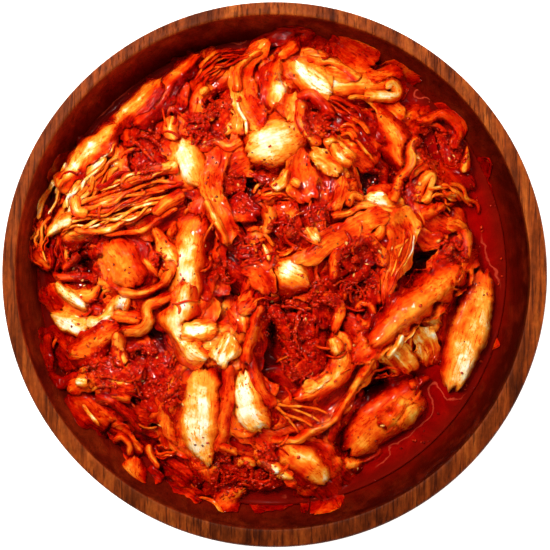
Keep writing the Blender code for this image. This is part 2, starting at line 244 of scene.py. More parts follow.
# How each kind of piece behaves. thick: mm at its middle. round: 2 is an oval section, 8 a flat one, and
# power 1 turns it into a ridge. pleat and crumple: height of lengthwise ridges and of creases. ruffle: how
# far an edge waves. limp: how much it follows the pile under it. end: how full its ends are. wander:
# sideways waviness. blade: mm of thin torn leaf along each side. streak and edge: how much redder it is
# between its ridges and along its sides. twist: how many degrees it rolls on its way. patchy: how uneven
# its stain is.
KINDS = {
    "stem": dict(thick=5.0, round=3.2, power=0.85, pleat=0.12, crumple=0.16, ruffle=0.9, limp=0.0, end=0.45,
                 wander=0.4, blade=4.5, streak=0.08, edge=0.3, twist=4, patchy=0.5),
    "petiole": dict(thick=1.7, round=3.0, power=0.85, pleat=0.24, crumple=0.3, ruffle=1.0, limp=0.5, end=0.3,
                    wander=0.8, blade=3.8, streak=0.16, edge=0.28, twist=10, patchy=0.8),
    # leaf and sheet have a negative edge, which pales their thin sides as a painted highlight
    "leaf": dict(thick=0.9, round=7.0, power=0.5, pleat=0.6, crumple=0.5, ruffle=1.8, limp=0.7, end=0.4,
                 wander=1.2, blade=0.0, streak=0.26, edge=-0.1, twist=9, patchy=1.2),
    "pleated": dict(thick=1.2, round=6.0, power=0.5, pleat=1.0, crumple=0.4, ruffle=1.4, limp=0.6, end=0.5,
                    wander=1.0, blade=1.6, streak=0.42, edge=0.0, twist=6, patchy=1.0),
    "ribbon": dict(thick=0.9, round=3.5, power=0.6, pleat=0.12, crumple=0.2, ruffle=0.6, limp=0.65, end=0.4,
                   wander=1.0, blade=1.3, streak=0.1, edge=0.1, twist=26, patchy=1.0),
    "strand": dict(thick=0.9, round=2.4, power=0.7, pleat=0.0, crumple=0.1, ruffle=0.15, limp=0.75, end=0.3,
                   wander=1.1, blade=0.0, streak=0.0, edge=0.08, twist=0, patchy=1.4),
    "sheet": dict(thick=0.8, round=8.0, power=0.5, pleat=0.35, crumple=0.3, ruffle=1.5, limp=0.6, end=0.45,
                  wander=0.8, blade=0.0, streak=0.12, edge=-0.08, twist=8, patchy=0.9),
    "lump": dict(thick=1.1, round=2.4, power=0.7, pleat=0.2, crumple=0.9, ruffle=2.2, limp=0.9, end=0.5,
                 wander=0.8, blade=2.5, streak=0.1, edge=0.0, twist=10, patchy=1.0),
}
LEVEL_LIFT = (-5.5, -3.2, -1.4, 0.8, 2.6, 4.0)
PLEAT_WIDTH = 1.3
FINENESS = 0.62
BLADE_STEPS = 3
PILE_REACH = 91.0
TALLEST = 78.6
SOFT_EVERY = 3
SOFT_REACH = 4
serial = 0
soft_map = None


def kept_inside(x, y):
    """Draws in whatever would reach into the bowl's wall."""
    away_x, away_y = x - OPENING_SHIFT[0], y - OPENING_SHIFT[1]
    away = np.hypot(away_x, away_y) + 1e-6
    kept = np.where(away > PILE_REACH, PILE_REACH + 0.2 * np.minimum(away - PILE_REACH, 8), away) / away
    return OPENING_SHIFT[0] + away_x * kept, OPENING_SHIFT[1] + away_y * kept


def cabbage(kind, route, width, tones, level=3, lift=None, owner="", fineness=FINENESS, **changes):
    """One piece. route: (x, y) points along its crest. width: mm, along the route. tones: colour from 0,
    cream, to 1, dark red, at the left edge, the middle and the right edge of travel; a fourth and fifth
    value are added at the start and the end. lift: mm over the dome along the route."""
    global serial
    serial += 1
    seed = serial * 7
    look = {**KINDS[kind], "roll": 0.0, "paste": 0.35, **changes}
    route = np.asarray(route, float)
    length = np.linalg.norm(np.diff(route, axis=0), axis=1).sum()
    widest = float(np.max(width))
    along = np.linspace(0, 1, 2 * max(4, int(length / fineness / 2)) + 1)
    turn = np.linspace(-1, 1, max(5, 2 * int(widest / fineness / 2) + 1))
    rib = 0.5 * turn + 0.5 * np.sin(turn * np.pi / 2)
    steps = np.arange(1, BLADE_STEPS + 1) / BLADE_STEPS if look["blade"] > 0 else np.zeros(0)
    across = np.concatenate([-np.ones(len(steps)), rib, np.ones(len(steps))])
    out = np.concatenate([steps[::-1], np.zeros(len(rib)), steps])
    centre = curve_through(route, along)
    ahead = np.gradient(centre, axis=0)
    ahead /= np.linalg.norm(ahead, axis=1)[:, None] + 1e-9
    side = np.stack([-ahead[:, 1], ahead[:, 0]], 1)
    s = along * length
    centre = centre + side * (look["wander"] * noise(s / 9, seed, 5))[:, None]

    from_end = np.minimum(along, 1 - along) * length
    tip = np.sqrt(np.clip(from_end / (0.3 * widest + 0.3), 0, 1))
    half = 0.5 * spread(width, along) * (look["end"] + (1 - look["end"]) * tip)
    half *= 1 + 0.17 * noise(s / 8, seed, 6) + 0.05 * noise(s / 2.5, seed, 7)
    S, V = np.meshgrid(s, across, indexing="ij")
    O = np.broadcast_to(out, S.shape)
    H = half[:, None]
    torn = look["ruffle"] * (noise(S / 6.5, V * 1.2 + seed, 11) + 0.35 * noise(S / 2.2, V + seed, 12))
    margin = look["blade"] * np.clip(0.6 + 0.7 * noise(S / 5.5, np.sign(V) * 9 + seed, 13), 0.12, 1.5)
    reach = V * (H + torn * np.abs(V) ** 1.5 * np.minimum(1, H / 3)) + np.sign(V) * O * margin
    frayed = noise(V * 1.6, seed + np.sign(S - length / 2), 14) * (0.5 + 0.1 * widest)
    frayed = frayed * np.clip(1 - from_end / 4, 0, 1)[:, None]
    x = centre[:, 0][:, None] + side[:, 0][:, None] * reach + ahead[:, 0][:, None] * frayed
    y = centre[:, 1][:, None] + side[:, 1][:, None] * reach + ahead[:, 1][:, None] * frayed
    x, y = kept_inside(x, y)

    section = np.clip(1 - np.abs(V) ** look["round"], 0, 1) ** look["power"]
    section = section * np.minimum(1, from_end / 1.6)[:, None] ** 0.5
    drift = 0.8 * noise(S / 12, V * 2, 8) + 0.25 * noise(S / 4, V * 3, 9)
    folds = ridges(S / 22, reach / PLEAT_WIDTH + seed * 3.7 + drift, 21)
    creases = ridges(S / 5.5 + seed, reach / 4.5 + seed, 31) - 0.5
    creases = creases + 0.5 * (ridges(S / 2.3, reach / 2.1 + seed, 32) - 0.5)
    relief = look["pleat"] * (folds - 0.6) + look["crumple"] * creases * (0.4 + 0.6 * np.abs(V))
    relief += look["ruffle"] * 0.7 * np.abs(V) ** 3 * noise(S / 3.2, V * 1.5 + seed, 41)
    relief *= np.minimum(1, 0.2 + from_end / 2)[:, None]
    roll = look["roll"] + look["twist"] * noise(s / 13, seed, 16)
    lean = np.sin(np.radians(roll))[:, None] * reach

    over = LEVEL_LIFT[level] if lift is None else spread(lift, along)[:, None]
    rigid = dome(centre[:, 0], centre[:, 1])[:, None] + over - look["thick"]
    ix, iy = cell_of(x, y)
    resting = soft_pile()[ix, iy] + 0.35
    base = rigid + look["limp"] * (resting + 0.4 * (np.asarray(over) + 4) - rigid) + lean
    top = base + look["thick"] * section + relief
    under = base - 0.25 * look["thick"] * section + relief * 0.6
    settled = np.minimum(resting + 0.3, base + 0.6 * look["thick"])
    blade_top = base + 0.3 + (settled - base) * O**0.8 + relief
    top = np.where(O > 0, blade_top, top)
    under = np.where(O > 0, blade_top - 0.45, under)
    top = np.minimum(top, TALLEST - 0.35 * np.clip(TALLEST + 1 - top, 0, 1))
    under = np.minimum(under, top - 0.15)
    floor = wall_height(x, y) + 0.5
    top = np.maximum(top, floor + 0.4)
    under = np.maximum(under, floor)

    tones = list(tones) + [0.0] * (5 - len(tones))
    tone = np.interp(V, [-1, 0, 1], [tones[2], tones[1], tones[0]])
    tone = tone + (tones[3] * (1 - along) ** 2 + tones[4] * along**2)[:, None]
    tone = tone + look["streak"] * (0.6 - folds) + look["edge"] * np.abs(V) ** 4 + 0.2 * O**0.7
    tone = tone + 0.16 * np.exp(-from_end / 2.2)[:, None]
    piece = dict(x=x, y=y, top=top, under=under, tone=tone, s=S, t=reach, v=np.abs(V), seed=seed, owner=owner,
                 paste=look["paste"], patchy=look["patchy"])
    lay(piece)
    return piece


def soft_pile():
    """The pile as a limp leaf feels it, worked out again after every third piece."""
    global soft_map
    if len(laid) % SOFT_EVERY == 0:
        soft_map = blurred(pile, SOFT_REACH)
    return soft_map


# ---------------------------------------------------------------- where the pile stands, and its gaps

# How far the core and the loose cabbage reach, for every 15 degrees from +X.
OUTLINE_STEP = 15
HEAP_OUTLINE = (76, 81, 82, 78, 73, 82) + (88, 88, 88, 88, 88, 89) + (89, 88, 87, 86, 88, 84)
HEAP_OUTLINE += (80, 78, 74, 68, 68, 70)
LOOSE_OUTLINE = (75, 77, 81, 84, 80, 86) + (87, 86, 83, 81, 84, 87) + (88, 87, 87, 84, 87, 84)
LOOSE_OUTLINE += (80, 82, 70, 68, 68, 72)

# (x, y, reach) of the gaps where the pile sinks and its pieces are darkened as painted shade, and of the
# places that are left to the brine.
HOLLOWS = (
    (-54, 48, 4), (-47, 43, 6), (-20, 62, 5), (-7, 34, 7), (47, 33, 4), (36, 33, 6), (58, 48, 5),
    (50, 3, 8), (59, -1, 5), (38, -42, 8), (-4, -15, 4), (-3, -24, 6), (-3, -33, 5), (-1, -41, 4),
    (-46, -23, 9), (-68, 5, 9), (-76, 8, 5), (-14, -6, 5), (19, 3, 4), (8, -14, 3), (16, 55, 5),
    (-3, 78, 4), (-60, -60, 6), (-66, -26, 5), (-22, 0, 3), (4, 40, 4), (-45, 11, 5), (30, -40, 5),
)
POOLS = (
    (55, 68, 8), (68, -47, 11), (0, -84, 6), (78, 33, 5), (34, -72, 6), (58, -60, 6), (84, -5, 4),
)


def reach_along(outline, x, y):
    """How far an outline reaches in the direction of a spot."""
    turn = np.degrees(np.arctan2(y, x)) % 360
    return np.interp(turn, np.arange(0, 360 + OUTLINE_STEP, OUTLINE_STEP), outline + outline[:1])


def spots(places, x, y):
    """How much a spot lies within a list of soft round places: 1 in their middles, 0 outside."""
    share = np.zeros(np.broadcast(x, y).shape)
    for px, py, reach in places:
        share = np.maximum(share, 1 - ease(np.hypot(x - px, y - py) / reach, 0.55, 1.25))
    return share


# (x, y, reach) of the places with most chilli paste, and of the cleanest ones.
PASTE_SPOTS = (
    (-47, 43, 9), (-26, 53, 9), (-21, 62, 7), (-10, 27, 6), (-9, 9, 6), (-20, 2, 6), (5, 16, 8),
    (4, -17, 11), (10, -31, 10), (19, -8, 8), (31, 5, 11), (31, -3, 8), (17, 55, 8), (58, 48, 9),
    (66, 46, 7), (-42, -40, 11), (-47, -32, 9), (-62, -34, 10), (-16, -75, 10), (-4, -76, 7), (-65, -12, 4),
    (-70, 4, 9), (-42, 6, 4), (20, 85, 6), (66, 8, 7), (40, 33, 8), (-2, -66, 5), (-46, 48, 7), (16, 22, 6),
    (50, 31, 6), (-2, 36, 8), (-14, 33, 6),
)
CLEAN_SPOTS = (
    (-3, 49, 9), (-26, -50, 10), (-10, -46, 7), (5, 2, 5), (14, 72, 6), (-30, 8, 6), (72, -20, 12),
    (-26, -18, 6), (40, 27, 7), (15, -70, 6), (8, 32, 8), (-74, 22, 8), (-77, -15, 6), (46, -30, 7),
)

pile -= 3.5 * spots(HOLLOWS, GRID_X, GRID_Y)
beyond = np.hypot(GRID_X, GRID_Y) > reach_along(HEAP_OUTLINE, GRID_X, GRID_Y) - 3
pile = np.where(beyond, BRINE_LEVEL - POOL_DEPTH, pile)
core_map = blurred(pile, 2)

# ---------------------------------------------------------------- the large pieces, one for each solid

# name: level, route with its lift over the dome, width, thickness, roll, tones, changes
LARGE = {
    "stem_top_middle": (
        4, ((-10, 43.5, 6), (-3, 47, 7.5), (5, 50, 7), (12, 53, 4)), (13, 15.5, 15, 10), 6.5, 8,
        (0.0, -0.1, 0.1, 0.24, 0.5), dict(paste=0, pleat=0.2, edge=0.16, patchy=0.35, round=5, power=0.6),
    ),
    "stem_top_upright": (
        3, ((1, 59, 3), (1.5, 66, 4), (2.5, 74, 4), (5, 81, 1)), (7, 9, 9, 6), 5, 0,
        (0.2, 0.02, 0.14, 0.0, 0.44), dict(paste=0, patchy=0.7),
    ),
    "stem_top_right": (
        3, ((11, 75, 3), (18, 71, 4), (30, 70, 4), (45, 72.5, 1)), (10, 10, 10, 8), 5, 0,
        (0.14, 0.1, 0.4, -0.1, 0.3), dict(paste=0, patchy=0.8),
    ),
    "stem_left_middle": (
        4, ((-33, 50, 3), (-31, 44, 5.5), (-29, 38, 6), (-26, 32, 4)), (9, 11, 11, 9), 6, -10,
        (0.36, 0.16, -0.12, 0.0, 0.12), dict(paste=0, patchy=0.3),
    ),
    "stem_middle": (
        4, ((-27, 21, 4.5), (-29.5, 12, 6), (-31, 2, 6), (-30.5, -9, 4)), (7.5, 10.5, 11, 9), 6, 0,
        (0.46, 0.1, -0.02, 0.3, 0.0), dict(paste=0, patchy=0.7),
    ),
    "stem_left_broad": (
        3, ((-60, 13, 3), (-56, 6, 5), (-53, 0, 5), (-51, -5, 2)), (11, 13.5, 13, 10), 6, 10,
        (0.6, 0.38, 0.22, 0.0, 0.1), dict(paste=0, edge=0.06, patchy=0.3),
    ),
    "stem_bottom_left": (
        4, ((-25, -34, 5), (-26, -47, 6.5), (-27, -58, 6.5), (-24, -71, 4)), (11, 16, 15, 4), 7, 0,
        (0.4, -0.04, 0.0, 0.28, 0.12), dict(paste=0, end=0.3, patchy=0.7, round=5, power=0.6),
    ),
    "stem_bottom_middle": (
        4, ((-11, -35, 4), (-10, -43, 6), (-8, -51, 6), (-3, -58, 4)), (6, 11.5, 12.5, 9), 6.5, 0,
        (0.28, -0.04, -0.06, 0.05, 0.18), dict(paste=0, patchy=0.7, round=5, power=0.6),
    ),
    "stem_centre": (
        4, ((1, 3, 4), (5, 0.5, 6), (9, -2, 6), (12.5, -5, 4)), (9, 12, 10, 5), 5, 0,
        (0.02, 0.06, 0.34, 0.0, 0.44), dict(paste=0, patchy=0.5, end=0.3),
    ),
    "stem_right_long": (
        5, ((69, 3, 5), (60, -4, 7), (48, -13, 8), (35, -26, 6)), (7, 9, 9, 6), 5.5, 12,
        (0.32, 0.34, 0.52, 0.06, 0.06), dict(paste=0, edge=0.14, patchy=0.3),
    ),
    "slab_right": (
        4, ((77.5, 2, 0), (76, -9, 1.5), (71.5, -24, 2.5), (66, -43.5, 2)), (8, 13, 15.5, 9), 5.5, -4,
        (0.14, 0.15, 0.4, 0.36, 0.0), dict(paste=0.05, round=6, power=0.6, edge=0.24, patchy=0.9, end=0.4),
    ),
    "slab_low_right": (
        4, ((55, -44, 1), (45, -50.5, 2), (35, -58, 1), (28, -67, 0)), (15, 17, 16, 12), 6, -24,
        (0.42, 0.34, 0.5, 0.1, 0.05), dict(paste=0.2, round=4),
    ),
    "stem_bottom": (
        4, ((2, -63, 3), (8, -67, 4.5), (14, -72, 5), (19, -78, 3)), (10, 11.5, 11.5, 8), 5.5, 0,
        (0.34, 0.26, 0.42, 0.16, 0.0), dict(paste=0.1, patchy=1.3),
    ),
}

# ---------------------------------------------------------------- the smaller cabbage, region by region

# level, kind, route, width, tones, changes; the later of two on one level lies on top
SMALL = (
    # upper left
    (4, "petiole", [(-28, 82), (-34, 76), (-40, 69), (-46, 61), (-52, 55)], (3, 5, 6, 7, 6),
     (0.66, 0.48, 0.34), {}),
    (5, "petiole", [(-42, 72), (-47, 67), (-53, 61), (-58, 57), (-62, 53)], (4, 6, 6, 4, 5),
     (0.45, 0.28, 0.24), {}),
    (5, "petiole", [(-58, 55), (-67, 48), (-74, 40), (-80, 32)], (4, 7, 6, 3), (0.4, 0.16, 0.3),
     dict(patchy=1.4)),
    (3, "sheet", [(-45, 63), (-51, 57), (-57, 50)], 10, (0.68, 0.6, 0.5), dict(paste=0.7)),
    (4, "sheet", [(-57, 47), (-56.5, 41), (-56, 35)], 5.5, (0.4, 0.36, 0.5), dict(paste=0)),
    (1, "leaf", [(-72, 47), (-78, 41), (-83, 34)], 8, (0.5, 0.46, 0.5), {}),
    (4, "ribbon", [(-74, 42), (-78, 36), (-81, 30)], 1.6, (0.1, 0.1, 0.2), {}),
    (4, "ribbon", [(-63, 37), (-67, 33), (-70, 29)], 4, (0.2, 0.14, 0.3), {}),
    (4, "ribbon", [(-59, 53), (-60, 48), (-62, 43)], 2.4, (0.3, 0.24, 0.34), {}),
    (3, "lump", [(-58, 56.5), (-63, 54), (-68, 51)], 2, (0.66, 0.66, 0.66), dict(paste=1)),
    (3, "strand", [(-50, 51), (-45, 50), (-41, 46)], 1.5, (0.4, 0.4, 0.4), {}),
    (3, "strand", [(-52, 49), (-48, 46), (-44, 41)], 1.4, (0.44, 0.44, 0.44), {}),
    (2, "leaf", [(-53, 40), (-46, 40), (-40, 42)], 7, (0.68, 0.74, 0.7), dict(paste=0.7)),
    (5, "ribbon", [(-56, 33.5), (-48, 36.5), (-41, 38.5), (-35, 39)], 3.6, (0.2, 0.27, 0.46), {}),
    (3, "sheet", [(-37, 72), (-37, 66), (-37, 59)], 10, (0.7, 0.6, 0.52), {}),
    (4, "petiole", [(-37.5, 58), (-38, 53), (-37, 49)], 4.4, (0.2, 0.1, 0.24), dict(paste=0, blade=0.8)),
    (3, "petiole", [(-34, 59), (-33, 54), (-32, 49)], 4, (0.34, 0.26, 0.4), {}),
    (3, "leaf", [(-33, 52), (-29, 54), (-24, 53)], 5, (0.7, 0.66, 0.7), dict(paste=1)),
    # top
    (3, "petiole", [(-13, 76), (-19, 73), (-24, 69), (-28, 64), (-28, 59), (-26, 56)], (6, 7, 7, 6, 5, 4),
     (0.56, 0.36, 0.5), dict(blade=1)),
    (4, "ribbon", [(-25, 69), (-27, 66)], 2.6, (0.12, 0.12, 0.2), {}),
    (3, "leaf", [(-25, 57), (-21, 61), (-17, 60)], 6, (0.5, 0.42, 0.5), dict(crumple=1.2)),
    (4, "sheet", [(-2, 87), (-8, 81), (-12, 73), (-11, 65), (-8, 58), (-4, 54)], (6, 8, 9, 10, 10, 8),
     (0.7, 0.46, 0.34), dict(paste=0)),
    (4, "ribbon", [(-5, 83), (-11, 79), (-14, 74), (-13.5, 67)], 1.8, (0.3, 0.3, 0.4), {}),
    (5, "strand", [(-14.5, 66), (-13, 61), (-11, 56), (-10, 51)], 1.2, (0.06, 0.06, 0.06), dict(patchy=0.3)),
    (3, "sheet", [(-16, 65), (-16, 58), (-15, 50)], 8, (0.4, 0.44, 0.46), {}),
    (4, "ribbon", [(-13.5, 58), (-13, 51)], 3.6, (0.2, 0.14, 0.3), {}),
    (4, "ribbon", [(-16, 55), (-18.5, 51)], 3, (0.12, 0.1, 0.24), {}),
    (2, "leaf", [(4, 84), (1, 77), (-2, 70), (-3, 62)], 10, (0.5, 0.5, 0.56), {}),
    (2, "leaf", [(-6, 76), (-6, 70), (-5, 63)], 7, (0.72, 0.66, 0.68), {}),
    (4, "petiole", [(8, 67), (7.5, 61), (5, 56)], 7, (0.34, 0.22, 0.22), dict(paste=0)),
    (3, "leaf", [(2, 80), (5, 83), (8, 86)], 4, (0.5, 0.44, 0.56), {}),
    (2, "sheet", [(-9, 84), (-2, 88), (8, 88), (16, 87)], 6, (0.64, 0.6, 0.7), {}),
    (2, "leaf", [(8, 85), (14, 84), (20, 86)], 8, (0.86, 0.86, 0.82), {}),
    (3, "lump", [(19, 82), (22, 86), (24, 88)], 3, (0.6, 0.6, 0.6), dict(paste=1)),
    (4, "petiole", [(7.5, 79), (11, 74), (16, 70), (21, 67)], (2.5, 7, 9, 5), (0.1, 0.0, 0.1),
     dict(paste=0, edge=0.14)),
    (3, "pleated", [(9, 78), (16, 79), (24, 77), (32, 73)], 8, (0.42, 0.3, 0.34), dict(paste=0.1)),
    (4, "ribbon", [(12, 80), (20, 79), (27, 76), (31, 72)], 2, (0.25, 0.25, 0.4), {}),
    (3, "sheet", [(24, 88), (30, 83), (37, 78)], 12, (0.5, 0.38, 0.4), dict(paste=0)),
    (3, "leaf", [(34, 75), (41, 75), (48, 75)], 5, (0.5, 0.44, 0.5), {}),
    (4, "ribbon", [(8, 65), (13, 66), (17, 63), (21, 58)], 2.8, (0.5, 0.46, 0.6), {}),
    (4, "ribbon", [(9.5, 64), (9.5, 57), (12, 51), (17, 47.5)], 3, (0.5, 0.36, 0.3), {}),
    (3, "petiole", [(13.5, 59), (16.5, 54), (20, 49)], (2, 4, 2), (0.4, 0.28, 0.4), {}),
    (2, "leaf", [(11, 61), (14, 55), (18, 50)], 9, (0.8, 0.8, 0.8), {}),
    (2, "leaf", [(18, 62), (23, 57), (28, 52)], 9, (0.8, 0.84, 0.8), {}),
    (4, "strand", [(24, 54), (28, 55), (31, 52)], 1.4, (0.3, 0.3, 0.3), {}),
    (4, "strand", [(24, 52.5), (28, 53), (30, 50)], 1.4, (0.34, 0.34, 0.34), {}),
    (4, "strand", [(24, 51), (27, 51.5), (29, 49)], 1.4, (0.36, 0.36, 0.36), {}),
    (4, "leaf", [(13, 45), (18, 42), (24, 37)], 8, (0.3, 0.28, 0.4), dict(crumple=1.6)),
    (4, "ribbon", [(19, 50), (24, 46), (29, 42)], 4, (0.26, 0.22, 0.4), dict(crumple=0.8)),
    (4, "ribbon", [(21, 48), (25, 43), (28, 40)], 2.4, (0.16, 0.16, 0.4), {}),
    (4, "sheet", [(10, 46), (9, 40), (10, 33), (13, 27)], (5, 9, 12, 11), (0.6, 0.48, 0.5), dict(paste=0.1)),
    (5, "ribbon", [(6, 34), (9, 32)], 3, (0.16, 0.16, 0.3), {}),
    (4, "ribbon", [(-1, 31.5), (2, 33.5), (4.5, 38)], (3, 3.6, 1), (0.06, 0.04, 0.1), dict(paste=0)),
    (4, "leaf", [(21, 23), (24, 30), (26, 36)], (5, 6, 2), (0.5, 0.44, 0.54), {}),
    # upper right
    (4, "ribbon", [(33, 66), (38, 65.5), (43, 66), (46, 68), (44, 71), (41, 70)], 2.8, (0.14, 0.1, 0.26), {}),
    (3, "strand", [(27, 65), (33, 65.5), (37, 62), (40, 57)], 1.8, (0.3, 0.3, 0.3), {}),
    (3, "leaf", [(38, 66), (42, 62), (47, 57)], 9, (0.5, 0.44, 0.56), {}),
    (3, "strand", [(27, 58), (31, 56), (35, 52)], 2, (0.34, 0.34, 0.34), {}),
    (3, "strand", [(29, 50), (33, 46), (37, 41)], 1.2, (0.4, 0.4, 0.4), {}),
    (2, "leaf", [(28, 60), (34, 53), (38, 45)], 12, (0.74, 0.72, 0.74), dict(paste=0.9)),
    (4, "petiole", [(38, 59), (42, 54), (45, 49), (46, 44), (48, 39)], (4, 7, 8, 7, 4), (0.42, 0.3, 0.52),
     dict(paste=0.1)),
    (5, "ribbon", [(53, 57), (57, 58), (62, 60), (66, 58.5), (68.5, 54), (67, 47)], (2.4, 2.4, 3, 3.6, 4, 2),
     (0.26, 0.42, 0.6), dict(twist=10)),
    (4, "ribbon", [(54, 56), (60, 56), (64, 53)], 1.8, (0.44, 0.44, 0.54), {}),
    (3, "leaf", [(58, 54), (54, 54), (51.5, 51)], 3, (0.42, 0.36, 0.46), dict(crumple=1.2)),
    (4, "ribbon", [(54, 51), (51, 47), (50, 41), (46, 36), (45, 30), (43, 27)], 2.8, (0.36, 0.34, 0.5), {}),
    (3, "leaf", [(51, 46), (54, 43), (58, 41)], 5, (0.3, 0.26, 0.36), {}),
    (4, "ribbon", [(53, 27), (54, 33), (58, 36.5), (57, 30), (54, 27)], 2.6, (0.28, 0.28, 0.4), {}),
    (3, "sheet", [(47, 37), (52, 40), (58, 42)], 5, (0.46, 0.42, 0.5), {}),
    (3, "sheet", [(58, 43), (60, 38), (64, 33), (70, 30)], 5, (0.4, 0.44, 0.56), {}),
    (3, "sheet", [(61, 42), (67, 38), (72, 31)], 10, (0.66, 0.6, 0.62), dict(paste=0)),
    (3, "leaf", [(62, 54), (65, 48), (69, 42)], 8, (0.76, 0.74, 0.74), dict(paste=0.9)),
    (5, "petiole", [(72, 48), (71, 43), (70.5, 38)], (1, 3.2, 4.4), (0.2, 0.06, 0.1),
     dict(paste=0, blade=0.5)),
    (1, "leaf", [(74, 44), (77, 36), (79, 27)], 8, (0.84, 0.84, 0.84), dict(crumple=1.6)),
    (1, "strand", [(75, 42), (76, 36), (75, 31)], 1.4, (0.66, 0.66, 0.66), {}),
    # right
    (4, "ribbon", [(27, 25), (28.5, 29), (32, 28), (32, 24.5), (29, 24)], 1.8, (0.26, 0.26, 0.36), {}),
    (3, "leaf", [(33, 28), (40, 27), (47, 24)], 7, (0.2, 0.12, 0.2), dict(paste=0, crumple=0.3)),
    (4, "ribbon", [(21, 21), (27, 22.5), (34, 25), (42, 23), (49, 22.5)], 2, (0.26, 0.26, 0.4), {}),
    (4, "sheet", [(42, 23), (46, 17), (46, 8), (43, 0), (41, -11)], (14, 14, 10, 8, 4),
     (0.34, 0.4, 0.54, 0.06, 0.2),
     dict(pleat=0.9, paste=0.1)),
    (4, "ribbon", [(35, 23), (38, 19), (38, 15), (34, 13)], 3, (0.3, 0.3, 0.5), {}),
    (3, "sheet", [(34, 23), (40, 18), (40, 9)], 9, (0.6, 0.62, 0.62), dict(paste=0.6)),
    (4, "sheet", [(6, 5), (13, 7), (20, 12), (27, 16), (35, 20), (42, 22)], (4, 7, 9, 9, 8, 5),
     (0.6, 0.48, 0.42),
     dict(paste=0.1)),
    (4, "ribbon", [(21, -2), (22, 5), (27, 11), (33, 13), (38, 9), (40, 3)], 3, (0.44, 0.36, 0.5), {}),
    (3, "sheet", [(26, 2), (31, 7), (37, 7)], 12, (0.76, 0.76, 0.72), dict(paste=0.8)),
    (4, "ribbon", [(29, 7), (30.5, 4.5)], 2.4, (0.2, 0.2, 0.4), {}),
    (4, "ribbon", [(24, -9), (28, -3), (34, 4)], 2.6, (0.6, 0.56, 0.68), {}),
    (3, "leaf", [(34, 2), (36, -5), (38, -11)], 6, (0.6, 0.68, 0.74), {}),
    (4, "ribbon", [(30, -13), (32, -10.5), (35, -11), (36, -15), (33, -17), (30, -15)], 2, (0.5, 0.5, 0.6),
     {}),
    (3, "sheet", [(26, -16), (31, -19), (36, -22)], 8, (0.56, 0.56, 0.52), {}),
    (3, "sheet", [(53, 25), (58, 20), (65, 15)], 10, (0.62, 0.56, 0.64), dict(paste=0.6)),
    (3, "leaf", [(52, 16), (57, 13), (62, 12)], 7, (0.56, 0.52, 0.56), dict(paste=0.7)),
    (4, "petiole", [(54, 22), (58, 24), (63, 26)], 4, (0.4, 0.32, 0.5), dict(blade=0.6)),
    (4, "sheet", [(56, -3), (62, 3), (67, 9), (71, 17)], (6, 10, 10, 4), (0.56, 0.56, 0.44), dict(paste=0.5)),
    (5, "ribbon", [(70.5, 17), (71.5, 12), (71, 6)], 2.8, (0.3, 0.28, 0.4), {}),
    (5, "ribbon", [(63.5, 7.5), (66.5, 11.5)], 1.8, (0.2, 0.24, 0.4), {}),
    (3, "leaf", [(64, 20), (68, 18), (72, 15)], 5, (0.3, 0.3, 0.42), dict(crumple=1.2)),
    (3, "leaf", [(53, -12), (57, -15), (62, -19)], 8, (0.18, 0.2, 0.34), dict(crumple=1.3, paste=0.1)),
    (3, "leaf", [(61, -9), (63, -14), (63, -19)], 3, (0.34, 0.26, 0.34), {}),
    (3, "leaf", [(53, -20), (57, -26), (58, -34)], 10, (0.3, 0.26, 0.34), dict(crumple=1.5, paste=0.2)),
    (3, "pleated", [(41, -25), (45, -30), (50, -37)], 11, (0.32, 0.22, 0.34), dict(paste=0)),
    (5, "ribbon", [(47, -22), (44.5, -26), (41.5, -30.5)], 1.5, (0.05, 0.05, 0.1), {}),
    (2, "sheet", [(69, 0), (66, -7), (65, -14)], 8, (0.56, 0.6, 0.6), {}),
    (3, "leaf", [(72, 2), (73, -4), (72, -8)], 6, (0.5, 0.4, 0.46), {}),
    (3, "sheet", [(29, -19), (33, -25), (38, -30)], 9, (0.48, 0.42, 0.46), {}),
    # lower right
    (4, "ribbon", [(50, -41), (54, -40), (58, -38.5)], 2.4, (0.4, 0.4, 0.5), {}),
    (5, "lump", [(40, -57), (45, -52), (49, -46)], 5, (0.4, 0.32, 0.4), dict(thick=0.8, limp=1.0, lift=-4)),
    (5, "sheet", [(47, -58), (50, -54), (54, -49)], 6, (0.3, 0.18, 0.22), dict(limp=1.0, lift=-4, paste=0)),
    (3, "petiole", [(27, -72), (33, -67), (40, -64)], 7, (0.2, 0.06, 0.2), dict(paste=0)),
    (3, "leaf", [(24, -54), (22, -61), (24, -69)], 6, (0.58, 0.6, 0.64), {}),
    (3, "sheet", [(30, -53), (28, -60), (27, -67)], 8, (0.6, 0.5, 0.5), {}),
    (2, "leaf", [(22, -71), (26, -75), (30, -78)], 8, (0.5, 0.46, 0.56), {}),
    # bottom
    (3, "sheet", [(-34, -35), (-38, -46), (-37, -57), (-30, -67)], 9, (0.4, 0.46, 0.52), dict(paste=0.1)),
    (4, "ribbon", [(-16.5, -33), (-17, -45), (-19, -57), (-20.5, -65)], 2.8, (0.56, 0.46, 0.4),
     dict(twist=6)),
    (2, "leaf", [(-25, -62), (-27, -68), (-24, -74)], 14, (0.66, 0.7, 0.66), {}),
    (3, "petiole", [(-16, -54), (-12, -58), (-4, -61), (2, -60)], 4, (0.34, 0.26, 0.46), {}),
    (3, "sheet", [(0, -53), (11, -52), (21, -45), (29, -36), (35, -27)], (12, 17, 16, 14, 10),
     (0.54, 0.58, 0.5),
     dict(paste=0.1)),
    (4, "ribbon", [(-1, -61), (7, -61), (15, -57), (23, -52.5), (28, -44), (33, -36), (39, -27)], 1.8,
     (0.46, 0.36, 0.34), dict(twist=8)),
    (4, "strand", [(0, -48), (5, -53), (9, -58)], 1.0, (0.4, 0.4, 0.4), {}),
    (4, "strand", [(0.5, -48), (7, -52), (14, -56)], 1.2, (0.38, 0.38, 0.38), {}),
    (4, "strand", [(1, -47.5), (9, -50), (17, -54)], 1.0, (0.4, 0.4, 0.4), {}),
